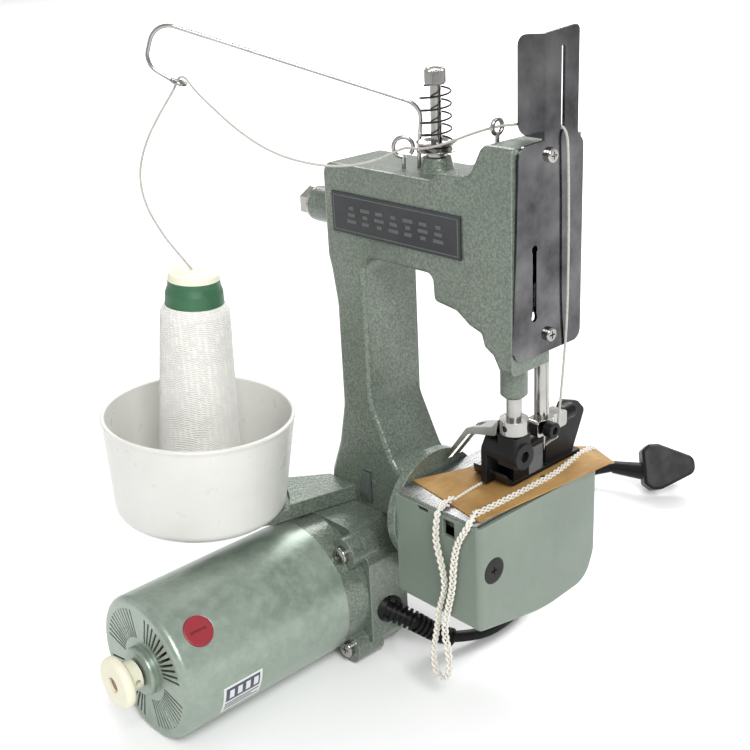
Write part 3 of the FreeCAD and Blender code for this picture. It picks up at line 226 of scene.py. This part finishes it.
def plated(name, light, dark, rough_low, rough_high, rings=(60, 60, 60)):
    """Bright metal with hair-fine polishing lines and a little bloom."""
    n = Nodes(name)
    lines = n.noise(1.0, 4, 0.6, n.stretched(rings))
    n.colour(n.between(n.spread(n.noise(45, 4), 0.3, 0.7), light, dark))
    bloom = n.spread(n.noise(35, 5), 0.35, 0.75, 0.0, 0.08)
    n.roughness(n.maths("ADD", bloom, n.spread(lines, 0.3, 0.7, rough_low, rough_high)))
    n.set(Metallic=1.0)
    n.relief(lines, 0.35, 0.00003, 0.00035)
    return n.material


def black_oxide():
    """Blackened steel with a painted grey highlight along its edges."""
    n = Nodes("black_oxide")
    # grey mixed in along the edges is a painted highlight
    edge_highlight = n.maths("MULTIPLY", n.edges(0.0006), 0.55)
    tone = n.between(n.spread(n.noise(60, 5), 0.3, 0.7), (0.0045, 0.0045, 0.005), (0.009, 0.009, 0.0095))
    n.colour(n.between(edge_highlight, tone, (0.05, 0.05, 0.052)))
    n.roughness(n.spread(n.noise(210, 4), 0.3, 0.7, 0.30, 0.46))
    n.set(Specular_IOR_Level=0.2)
    n.relief(n.noise(500, 3), 0.2, 0.0001, 0.0006)
    return n.material


def moulded(name, light, dark, rough=(0.3, 0.42), grain=700, strength=0.1, gloss=0.5, through=0.0):
    """Moulded plastic or rubber with a fine skin and a painted paler highlight along its edges."""
    n = Nodes(name)
    rounded = 0.0005
    tone = n.between(n.spread(n.noise(24, 5), 0.3, 0.7), light, dark)
    # lighter copy of the tone, mixed in along the edges as a painted highlight
    highlight_tone = tuple(min(1, c * 1.6 + 0.02) for c in light)
    n.colour(n.between(n.maths("MULTIPLY", n.edges(rounded * 1.5), 0.25), tone, highlight_tone))
    n.roughness(n.spread(n.noise(130, 4), 0.3, 0.7, *rough))
    n.set(Specular_IOR_Level=gloss, Subsurface_Weight=through, Subsurface_Scale=0.002)
    n.relief(n.noise(grain, 3), strength, 0.0001, rounded)
    return n.material


def name_plate_print():
    """Dark plate, slightly faded, with a fine brushed grain."""
    n = Nodes("name_plate_print")
    grain = n.noise(1.0, 3, vector=n.stretched((30, 30, 1400)))
    n.colour(n.between(n.spread(n.noise(50, 5), 0.3, 0.7), (0.020, 0.022, 0.024), (0.034, 0.037, 0.040)))
    n.roughness(n.spread(grain, 0.3, 0.7, 0.32, 0.46))
    n.set(Metallic=0.2)
    n.relief(grain, 0.1, 0.00005, 0.0003)
    return n.material


def kraft_paper():
    """Brown kraft with fibres, fold shade and small darker specks."""
    n = Nodes("kraft_paper")
    fibres = n.noise(1.0, 6, 0.7, n.stretched((260, 90, 260)))
    cloud = n.noise(34, 6, 0.65)
    specks = n.spread(n.cells(420), 0.12, 0.05)
    tone = n.between(n.spread(cloud, 0.32, 0.68), (0.275, 0.140, 0.024), (0.440, 0.250, 0.056))
    tone = n.between(n.spread(fibres, 0.35, 0.65, 0.0, 0.5), tone, (0.260, 0.125, 0.024))
    n.colour(n.between(n.maths("MULTIPLY", specks, 0.35), tone, (0.16, 0.07, 0.015)))
    n.roughness(n.spread(fibres, 0.3, 0.7, 0.62, 0.8))
    n.set(Sheen_Weight=0.15)
    n.relief(n.maths("ADD", fibres, n.maths("MULTIPLY", cloud, 2.0)), 0.45, 0.0002, 0)
    return n.material


def spun_thread(name="spun_thread", light=(0.80, 0.78, 0.71), dark=(0.60, 0.58, 0.51)):
    """Twisted polyester: soft, with fine slanting plies."""
    n = Nodes(name)
    ply = n.cells(1.0, vector=n.stretched((2600, 2600, 1300)))
    n.colour(n.between(n.spread(ply, 0.1, 0.7), light, dark))
    n.roughness(n.spread(n.noise(900, 2), 0.3, 0.7, 0.6, 0.8))
    n.set(Sheen_Weight=0.35, Sheen_Roughness=0.5, Subsurface_Weight=0.12, Subsurface_Scale=0.001)
    n.relief(ply, 0.5, 0.00012, 0)
    return n.material


def wound_thread():
    """Cross-wound package: thread crossing itself at a shallow angle both ways."""
    n = Nodes("wound_thread")
    low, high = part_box("thread_package")
    middle = (low + high) / 2
    shifted = n.add("ShaderNodeVectorMath", operation="SUBTRACT")
    shifted.inputs[1].default_value = middle
    n.link(n.place, shifted.inputs[0])
    split = n.add("ShaderNodeSeparateXYZ")
    n.link(shifted.outputs["Vector"], split.inputs["Vector"])
    turn = n.maths("ARCTAN2", split.outputs["Y"], split.outputs["X"])
    rise_per_radian, thread_pitch = 0.0032, 0.00095
    lays = []
    for slope in (rise_per_radian, -rise_per_radian):
        climb = n.maths("ADD", split.outputs["Z"], n.maths("MULTIPLY", turn, slope))
        lays.append(n.maths("SINE", n.maths("MULTIPLY", climb, math.tau / thread_pitch), 0))
    crossing = n.spread(n.noise(160, 2), 0.42, 0.58)
    height = n.maths("ADD", n.maths("MULTIPLY", lays[0], crossing),
                     n.maths("MULTIPLY", lays[1], n.maths("SUBTRACT", 1, crossing)))
    tone = n.between(n.spread(n.noise(26, 4), 0.3, 0.7), (0.76, 0.75, 0.71), (0.86, 0.85, 0.81))
    # darker where the lays dip, between the wraps: painted shade in the grooves
    n.colour(n.between(n.spread(height, 0.2, -1.0, 0.0, 0.55), tone, (0.48, 0.46, 0.42)))
    n.set(Roughness=0.72, Sheen_Weight=0.3, Subsurface_Weight=0.1, Subsurface_Scale=0.002)
    n.relief(height, 0.7, 0.0003, 0)
    return n.material


def banded_cone():
    """Cream cone with one green band near the top, measured along the leaning axis."""
    n = Nodes("banded_cone")
    low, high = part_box("cone_core")
    foot = Vector(((low.x + high.x) / 2, (low.y + high.y) / 2, low.z))
    along = Vector((0.0467, 0.0518, 0.9976))
    dot = n.add("ShaderNodeVectorMath", operation="DOT_PRODUCT")
    dot.inputs[1].default_value = along
    n.link(n.place, dot.inputs[0])
    height = n.maths("SUBTRACT", dot.outputs["Value"], foot.dot(along))
    lower, upper = 0.100, 0.1208
    band = n.maths("MULTIPLY", n.maths("GREATER_THAN", height, lower), n.maths("LESS_THAN", height, upper))
    tone = n.between(n.spread(n.noise(30, 5), 0.3, 0.7), (0.66, 0.64, 0.50), (0.76, 0.74, 0.60))
    green = n.between(n.spread(n.noise(120, 4), 0.3, 0.7), (0.020, 0.092, 0.040), (0.034, 0.125, 0.058))
    n.colour(n.between(band, tone, green))
    n.roughness(n.spread(n.noise(200, 3), 0.3, 0.7, 0.38, 0.55))
    n.relief(n.noise(600, 3), 0.12, 0.0001, 0.0006)
    return n.material


LOOKS = {
    "enamel": hammered_enamel(),
    "motor_enamel": motor_enamel(),
    "cover_paint": cover_paint(),
    # chrome colour set far darker than real chrome: a painted dark reflection of dim surroundings
    "bright_chrome": plated("bright_chrome", (0.20, 0.20, 0.205), (0.060, 0.060, 0.063), 0.05, 0.12,
                            (500, 120, 8)),
    "label": name_plate_print(),
    "steel": plated("ground_steel", (0.46, 0.46, 0.46), (0.34, 0.34, 0.34), 0.18, 0.30, (700, 20, 20)),
    "nickel": plated("nickel_plate", (0.48, 0.47, 0.45), (0.32, 0.31, 0.30), 0.10, 0.20, (90, 90, 90)),
    "pulley_plastic": moulded("pulley_plastic", (0.020, 0.020, 0.020), (0.030, 0.030, 0.030)),
    "belt_rubber": moulded("belt_rubber", (0.012, 0.012, 0.012), (0.020, 0.020, 0.020), (0.55, 0.7)),
    "black_steel": black_oxide(),
    "bronze": plated("bronze", (0.60, 0.42, 0.20), (0.46, 0.30, 0.13), 0.30, 0.45),
    "armature_steel": plated("armature_steel", (0.42, 0.27, 0.17), (0.24, 0.20, 0.18), 0.35, 0.5,
                             (40, 900, 40)),
    "cream_nylon": moulded("cream_nylon", (0.70, 0.68, 0.53), (0.78, 0.76, 0.61), (0.38, 0.5), through=0.1),
    "red_plastic": moulded("red_plastic", (0.20, 0.014, 0.022), (0.28, 0.022, 0.032), (0.25, 0.36)),
    "white_plastic": moulded("white_plastic", (0.60, 0.60, 0.57), (0.66, 0.66, 0.63), (0.26, 0.38), 300, 0.06,
                             through=0.15),
    "cream_plastic": banded_cone(),
    "white_thread": spun_thread(),
    "trigger_plastic": moulded("trigger_plastic", (0.055, 0.066, 0.060), (0.075, 0.088, 0.080), (0.35, 0.48)),
    "black_plastic": moulded("black_plastic", (0.005, 0.005, 0.0055), (0.009, 0.009, 0.0095), (0.34, 0.48),
                             1200, 0.25, 0.2),
    "kraft_paper": kraft_paper(),
    "black_rubber": moulded("black_rubber", (0.004, 0.004, 0.0045), (0.008, 0.008, 0.0085), (0.38, 0.54),
                            900, 0.15, 0.2),
    "wound_thread": wound_thread(),
}
SLOTS = {part["node"]: part["material_slot"] for part in frame["record"]["subparts"]}


def dress_nodes():
    """Give every CAD node its slot's material, apart from the two that look unlike the rest of theirs."""
    looks = dict(SLOTS, thread_package="wound_thread", tension_spring="black_steel")
    for name, thing in frame["nodes"].items():
        thing.data.materials.clear()
        thing.data.materials.append(LOOKS[looks[name]])


dress_nodes()


# ---------------------------------------------------------------- building pieces

def piece(name, mesh_or_curve, slot, body="machine", smooth=True, look=None):
    """Named object that rides a body, or none when a blend is to move it."""
    thing = bpy.data.objects.new(name, mesh_or_curve)
    bpy.context.scene.collection.objects.link(thing)
    thing.data.materials.append(look or LOOKS[slot])
    if smooth and thing.type == "MESH":
        thing.data.shade_smooth()
    if body:
        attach(thing, body)
    return thing


def mesh(name, points, faces):
    """Mesh data from points and faces."""
    data = bpy.data.meshes.new(name)
    data.from_pydata([tuple(p) for p in points], [], faces)
    data.update()
    return data


def spline(name, points, radius, rings=6):
    """Open NURBS curve whose control points are the route, as thick as the cord."""
    data = bpy.data.curves.new(name, "CURVE")
    data.dimensions = "3D"
    line = data.splines.new("NURBS")
    line.points.add(len(points) - 1)
    for place, point in zip(line.points, points):
        place.co = (*point, 1)
    line.order_u = 3
    line.use_endpoint_u = True
    line.resolution_u = 8
    data.bevel_depth = radius
    data.bevel_resolution = rings
    data.use_fill_caps = True
    return data


def centreline(name, points):
    """Points read from the route's own NURBS spline."""
    thing = bpy.data.objects.new(name, spline(name, points, 0))
    bpy.context.scene.collection.objects.link(thing)
    bpy.context.view_layer.update()
    evaluated = thing.evaluated_get(bpy.context.evaluated_depsgraph_get())
    flat = bpy.data.meshes.new_from_object(evaluated)
    read = [v.co.copy() for v in flat.vertices]
    bpy.data.objects.remove(thing)
    return read


def even(points, step):
    """The line's points respaced at an even step, with the direction at each."""
    out, left = [], 0.0
    for here, there in zip(points, points[1:]):
        run = there - here
        while left < run.length:
            out.append((here + run.normalized() * left, run.normalized()))
            left += step
        left -= run.length
    return out


def sweep(line, offset, radius, sides):
    """Closed tube whose centre is the line's points shifted by offset(length, normal, binormal)."""
    points, faces = [], []
    normal = None
    length = 0.0
    for k, (place, along) in enumerate(line):
        if normal is None:
            normal = along.cross(Vector((0, 1, 0))).normalized()
        normal = (normal - along * normal.dot(along)).normalized()
        binormal = along.cross(normal)
        if k:
            length += (place - line[k - 1][0]).length
        centre = place + offset(length, normal, binormal)
        for s in range(sides):
            angle = math.tau * s / sides
            points.append(centre + (normal * math.cos(angle) + binormal * math.sin(angle)) * radius)
    for k in range(len(line) - 1):
        for s in range(sides):
            a, b = k * sides + s, k * sides + (s + 1) % sides
            faces.append((a, b, b + sides, a + sides))
    faces.append(tuple(range(sides))[::-1])
    faces.append(tuple(range((len(line) - 1) * sides, len(line) * sides)))
    return points, faces


def joined(parts):
    """Several (points, faces) lists as one."""
    points, faces = [], []
    for more, sides in parts:
        start = len(points)
        points += more
        faces += [tuple(i + start for i in face) for face in sides]
    return points, faces


def lathe(profile, base, steps):
    """Closed ring mesh from (radius, height) points turned round the upright axis through base."""
    points, faces = [], []
    count = len(profile)
    for k in range(steps):
        angle = math.tau * k / steps
        for radius, height in profile:
            points.append(base + Vector((radius * math.cos(angle), radius * math.sin(angle), height)))
    for k in range(steps):
        for s in range(count):
            a, b = k * count + s, k * count + (s + 1) % count
            c, d = ((k + 1) % steps) * count + (s + 1) % count, ((k + 1) % steps) * count + s
            faces.append((a, d, c, b))
    return points, faces


# ---------------------------------------------------------------- mains lead

LEAD = [(-0.056, -0.0105, 0.0075), (-0.0505, 0.003, 0.0039), (-0.0485, 0.019, 0.0032), (-0.051, 0.0375, 0.0032),
        (-0.0585, 0.0565, 0.0032), (-0.0668, 0.074, 0.0032)]
TAIL = [(-0.1055, 0.1334, 0.0064), (-0.118, 0.1415, 0.004), (-0.1263, 0.1533, 0.0033), (-0.129, 0.168, 0.0032),
        (-0.1265, 0.1823, 0.005), (-0.1182, 0.1934, 0.0088), (-0.1056, 0.2006, 0.0129)]
LEAD_RADIUS = 0.0031
COIL_RADII = (0.041, 0.0345, 0.028)
COIL_HEIGHTS = (0.0032, 0.0096)
COIL_STEPS = 18  # points in a turn
COIL_OVERRUN = 4  # points past the last whole turn


def coil_turns():
    """Two flat layers of three turns, stepping to the next turn over the last quarter of each."""
    middle = node_middle("lead_coil")
    laps = [(radius, COIL_HEIGHTS[0]) for radius in COIL_RADII]
    laps += [(radius, COIL_HEIGHTS[1]) for radius in reversed(COIL_RADII)]
    whole = len(laps) * COIL_STEPS
    turns = []
    for k in range(whole + COIL_OVERRUN):
        lap = min(k // COIL_STEPS, len(laps) - 1)
        after = min(lap + 1, len(laps) - 1)
        share = max(0.0, (k % COIL_STEPS) / COIL_STEPS - 0.75) / 0.25 if k < whole else 0
        radius, height = (a + (b - a) * share for a, b in zip(laps[lap], laps[after]))
        angle = math.tau * k / COIL_STEPS
        turns.append(Vector((middle.x + radius * math.cos(angle), middle.y + radius * math.sin(angle), height)))
    return turns


lead_route = [at(*p) for p in LEAD] + coil_turns() + [at(*p) for p in TAIL]
lead = piece("mains_lead_cord", spline("mains_lead_cord", lead_route, LEAD_RADIUS), "black_rubber")
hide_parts("mains_lead", "lead_coil", "lead_tail")


# ---------------------------------------------------------------- sewing thread

SLACK = [(-0.1502, -0.0865, 0.213), (-0.154, -0.0895, 0.2195), (-0.161, -0.0938, 0.23),
         (-0.1685, -0.097, 0.244), (-0.1705, -0.0975, 0.259), (-0.164, -0.0955, 0.275),
         (-0.1565, -0.09, 0.289), (-0.15, -0.0856, 0.299), (-0.1474, -0.0842, 0.3046),
         (-0.1446, -0.0826, 0.3046), (-0.141, -0.0814, 0.2994), (-0.134, -0.077, 0.291),
         (-0.124, -0.0695, 0.279), (-0.112, -0.06, 0.269), (-0.099, -0.048, 0.2635), (-0.09, -0.035, 0.2615),
         (-0.0825, -0.023, 0.2634), (-0.0782, -0.012, 0.2674)]
TAUT = [(-0.0782, -0.012, 0.2674), (-0.071, -0.014, 0.2689), (-0.0615, -0.0148, 0.2693),
        (-0.05, -0.0124, 0.2725), (-0.034, -0.0096, 0.279), (-0.0224, -0.0072, 0.2826),
        (-0.0168, -0.0012, 0.283), (-0.008, 0.0056, 0.2832), (-0.0008, 0.0085, 0.283), (0.0021, 0.009, 0.279),
        (0.0022, 0.0096, 0.27), (0.0022, 0.0104, 0.252), (0.0022, 0.0108, 0.226), (0.0019, 0.011, 0.196),
        (-0.001, 0.012, 0.164), (-0.0054, 0.0138, 0.133)]
THREAD_RADIUS = 0.0006

thread_route = [at(*p) for p in SLACK] + [at(*p) for p in TAUT[1:]]
thin_thread = spun_thread("thin_thread", (0.50, 0.49, 0.45), (0.36, 0.35, 0.32))
thread = piece("sewing_thread", spline("sewing_thread", thread_route, THREAD_RADIUS, 3), "white_thread",
               look=thin_thread)
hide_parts("thread_slack", "thread_taut")


# ---------------------------------------------------------------- braided chain

CHAIN = [(-0.027, -0.0365, 0.112), (-0.0264, -0.0465, 0.1122), (-0.0264, -0.0486, 0.1035), (-0.0276, -0.048, 0.093),
         (-0.0236, -0.048, 0.081), (-0.0218, -0.048, 0.07), (-0.0266, -0.048, 0.057), (-0.0282, -0.048, 0.045),
         (-0.0314, -0.048, 0.031), (-0.031, -0.048, 0.0195), (-0.0258, -0.048, 0.0155), (-0.0206, -0.048, 0.0205),
         (-0.0206, -0.048, 0.033), (-0.0238, -0.048, 0.045), (-0.0206, -0.048, 0.059), (-0.0172, -0.048, 0.072),
         (-0.0164, -0.048, 0.084), (-0.014, -0.048, 0.097), (-0.007, -0.0486, 0.108), (-0.0052, -0.0468, 0.113),
         (-0.0095, -0.0395, 0.1122)]
STITCH = 0.0104  # length of one full plait


def braid(route, half_wide, half_deep, strand, stitch):
    """Three strands of radius strand plaited along a route, swinging half_wide aside and half_deep up."""
    line = even(route, 0.0006)
    parts = []
    for k in range(3):
        phase = math.tau * k / 3

        def offset(length, normal, binormal, phase=phase):
            turn = math.tau * length / stitch + phase
            return normal * (half_wide * math.sin(turn)) + binormal * (half_deep * math.sin(2 * turn))
        parts.append(sweep(line, offset, strand, 7))
    return joined(parts)


chain_line = centreline("chain_line", [at(*p) for p in CHAIN])
plait = braid(chain_line, 0.00140, 0.0006, 0.00064, STITCH)
chain = piece("sewn_chain", mesh("sewn_chain", *plait), "white_thread")
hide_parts("chain_tail")


# ---------------------------------------------------------------- stitches, thread end

def stitch_row(name, points, half_wide, strand, stitch):
    """Flat plait lying on the test strip."""
    line = centreline(name + "_line", [at(*p) for p in points])
    return piece(name, mesh(name, *braid(line, half_wide, 0.0003, strand, stitch)), "white_thread")


stitch_row("fine_stitch_row", [(-0.0295, -0.009, 0.1106), (-0.0288, -0.022, 0.1107), (-0.027, -0.0362, 0.1108)],
           0.0005, 0.00032, 0.006)
stitch_row("chain_stitch_row", [(-0.0172, 0.0585, 0.1078), (-0.0146, 0.046, 0.1104), (-0.0092, 0.02, 0.1106),
                                (-0.0088, 0.005, 0.1106), (-0.0092, -0.02, 0.1106), (-0.0095, -0.0392, 0.1112)],
           0.00115, 0.00055, STITCH)

THREAD_END = [(-0.0054, 0.0138, 0.133), (-0.0075, 0.0139, 0.1312), (-0.0102, 0.0134, 0.129),
              (-0.0116, 0.0126, 0.127)]
end_line = even(centreline("thread_end_line", [at(*p) for p in THREAD_END]), 0.0005)
end_tube = sweep(end_line, lambda length, normal, binormal: Vector(), THREAD_RADIUS, 10)
thread_end = piece("thread_end", mesh("thread_end", *end_tube), "white_thread", body=None, look=thin_thread)
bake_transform(thread_end)


# ---------------------------------------------------------------- plate marks, sticker, knurled nut

def slab(x0, x1, y0, y1, z0, z1, chamfer):
    """Flat block with a chamfer round its front, which faces -Y."""
    c = chamfer
    front = [(x0 + c, y0, z0 + c), (x1 - c, y0, z0 + c), (x1 - c, y0, z1 - c), (x0 + c, y0, z1 - c)]
    rim = [(x0, y0 + c, z0), (x1, y0 + c, z0), (x1, y0 + c, z1), (x0, y0 + c, z1)]
    back = [(x, y1, z) for x, _, z in rim]
    faces = [(0, 1, 2, 3), (11, 10, 9, 8)]
    for k in range(4):
        after = (k + 1) % 4
        faces += [(k, k + 4, after + 4, after), (k + 4, k + 8, after + 8, after + 4)]
    return [Vector(p) for p in front + rim + back], faces


def plate_marks():
    """Raised rim and a row of plain marks on the name plate."""
    low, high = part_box("name_plate")
    t, inset = 0.0006, 0.0012
    y, sunk = low.y, low.y + 0.0001
    x0, x1, z0, z1 = low.x + inset, high.x - inset, low.z + inset, high.z - inset
    parts = [slab(x0, x1, y - 0.0002, sunk, z, z + t, 0.00012) for z in (z0, z1 - t)]
    parts += [slab(x, x + t, y - 0.0002, sunk, z0 + t, z1 - t, 0.00012) for x in (x0, x1 - t)]
    step = (x1 - x0) / 8.6
    wide, tall, middle = step * 0.66, (z1 - z0) * 0.50, (z0 + z1) / 2
    for k in range(7):
        left = x0 + step * (1.0 + k)
        for row in range(3):
            bottom = middle - tall / 2 + row * tall * 0.37
            shorter = 0.25 * wide * ((k + row) % 3) / 2
            parts.append(slab(left + shorter, left + wide - shorter, y - 0.00018, sunk,
                              bottom, bottom + tall * 0.2, 0.0001))
    return joined(parts)


def print_look(name, light, dark, rough=0.35, grain=200, detail=4):
    """Flat print with a slight unevenness."""
    n = Nodes(name)
    n.colour(n.between(n.noise(grain, detail), light, dark))
    n.set(Roughness=rough)
    return n.material


def marks(name, parts, look):
    """Flat-shaded printed piece on the machine."""
    return piece(name, mesh(name, *parts), "label", smooth=False, look=look)


marks("name_plate_marks", plate_marks(),
      print_look("faded_print", (0.060, 0.066, 0.066), (0.105, 0.112, 0.112), 0.5, 400, 3))


def shell_patch(radius, y0, y1, low, high, deep=0.00012):
    """Thin plate bent round the motor tube between two angles, in degrees above level on the +X side."""
    points, faces = [], []
    steps = 12
    for k in range(steps + 1):
        angle = math.radians(low + (high - low) * k / steps)
        for rad, y in ((radius, y0), (radius, y1), (radius - deep, y1), (radius - deep, y0)):
            points.append(MOTOR_AXIS + Vector((rad * math.cos(angle), ORIGIN.y + y, rad * math.sin(angle))))
    for k in range(steps):
        for s in range(4):
            a, b = k * 4 + s, k * 4 + (s + 1) % 4
            faces.append((a, b, b + 4, a + 4))
    faces += [(3, 2, 1, 0), tuple(range(steps * 4, steps * 4 + 4))]
    return points, faces


TUBE_RADIUS = 0.0370
BASE_SKIN, PRINT_SKIN, MARK_SKIN = (TUBE_RADIUS + lift for lift in (0.0001, 0.00016, 0.00021))
PRINT_FROM, PRINT_TO = -0.1396, -0.1194


def sticker_print():
    """One dark panel over three dark lines of falling length."""
    lines = [shell_patch(PRINT_SKIN, PRINT_FROM, PRINT_TO - 0.004 * (k % 2), -25 - 3 * k, -23.6 - 3 * k)
             for k in range(3)]
    return joined([shell_patch(PRINT_SKIN, PRINT_FROM, PRINT_TO, -21, -8)] + lines)


def sticker_marks():
    """Four pale blocks on the dark panel."""
    wide, step = 0.0027, 0.0048
    starts = [-0.1375 + step * k for k in range(4)]
    return joined([shell_patch(MARK_SKIN, start, start + wide, -18.5, -10.5) for start in starts])


marks("sticker_base", shell_patch(BASE_SKIN, -0.141, -0.118, -34, -6),
      print_look("sticker_base", (0.62, 0.63, 0.62), (0.70, 0.71, 0.70)))
marks("sticker_print", sticker_print(), print_look("sticker_print", (0.035, 0.040, 0.075), (0.060, 0.065, 0.110)))
marks("sticker_marks", sticker_marks(), print_look("sticker_marks", (0.60, 0.61, 0.62), (0.68, 0.69, 0.70)))


def knurled_nut():
    """Tension nut with straight knurling round its rim."""
    low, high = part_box("tension_nut")
    base = Vector(((low.x + high.x) / 2, (low.y + high.y) / 2, low.z))
    tall, rim, bore = high.z - low.z, (high.x - low.x) / 2, 0.00262
    profile = [(bore, 0), (rim - 0.0007, 0), (rim, 0.0009), (rim, tall - 0.0012), (rim - 0.0008, tall),
               (0.0034, tall), (bore, tall - 0.0008)]
    rim_points, groove = (2, 3), 0.0003
    points, faces = lathe(profile, base, 84)
    for k, point in enumerate(points):
        if (k // len(profile)) % 2 and k % len(profile) in rim_points:
            out = Vector((point.x - base.x, point.y - base.y, 0))
            point -= out.normalized() * groove
    return points, faces


nut = piece("knurled_tension_nut", mesh("knurled_tension_nut", *knurled_nut()), SLOTS["tension_nut"],
            "tension_nut", smooth=False)
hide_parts("tension_nut")


# ---------------------------------------------------------------- camera, light and floor

def camera():
    """Long lens above and in front of the head's right corner."""
    azimuth, height, roll = math.radians(48.19), math.radians(22.22), math.radians(-2.94)
    right = Vector((math.cos(azimuth), math.sin(azimuth), 0))
    back = Vector((math.sin(azimuth) * math.cos(height), -math.cos(azimuth) * math.cos(height), math.sin(height)))
    up = back.cross(right)
    tilted_right = right * math.cos(roll) + up * math.sin(roll)
    tilted_up = up * math.cos(roll) - right * math.sin(roll)
    lens = bpy.data.cameras.new("camera")
    lens.lens = 56.32
    lens.shift_x, lens.shift_y = 0.0019, 0.0032
    lens.clip_start = 0.01
    thing = bpy.data.objects.new("camera", lens)
    turn = Matrix((tilted_right, tilted_up, back)).transposed()
    eye = at(0.31546, -0.3887, 0.37582)
    thing.matrix_world = Matrix.Translation(eye) @ turn.to_4x4()
    bpy.context.scene.collection.objects.link(thing)
    bpy.context.scene.camera = thing


def lamp(name, place, target, size, power):
    """Square soft light at a place, aimed at a target."""
    light = bpy.data.lights.new(name, "AREA")
    light.energy = power
    light.size = size
    thing = bpy.data.objects.new(name, light)
    thing.location = place
    thing.rotation_euler = (Vector(target) - Vector(place)).to_track_quat("-Z", "Y").to_euler()
    bpy.context.scene.collection.objects.link(thing)


def studio():
    """Pale plain floor, even white surroundings and soft lamps."""
    reach = 9
    corners = [(-reach, -reach, 0), (reach, -reach, 0), (reach, reach, 0), (-reach, reach, 0)]
    floor = bpy.data.objects.new("floor", mesh("floor", corners, [(0, 1, 2, 3)]))
    floor.location.z = CAD_BOX[0].z - 0.0002
    n = Nodes("floor_paper")
    n.colour(n.between(n.noise(3, 2), (0.90, 0.90, 0.90), (0.94, 0.94, 0.94)))
    n.set(Roughness=0.9)
    floor.data.materials.append(n.material)
    bpy.context.scene.collection.objects.link(floor)
    world = bpy.data.worlds.new("studio")
    world.use_nodes = True
    background = world.node_tree.nodes["Background"]
    background.inputs["Color"].default_value = (1, 1, 1, 1)
    background.inputs["Strength"].default_value = 0.55
    bpy.context.scene.world = world
    heart = (0, 0, 0.16)
    lamp("key", (1.2, -0.6, 1.3), heart, 0.7, 27)
    lamp("fill", (-1.3, -1.1, 0.9), heart, 1.2, 3)
    lamp("back", (-0.4, 1.5, 1.1), heart, 1.0, 10)
    lamp("floor_wash", (-1.9, 2.1, 2.4), (-2.4, 2.6, 0), 2.5, 150)


camera()
studio()
bpy.context.scene.view_settings.view_transform = "Standard"
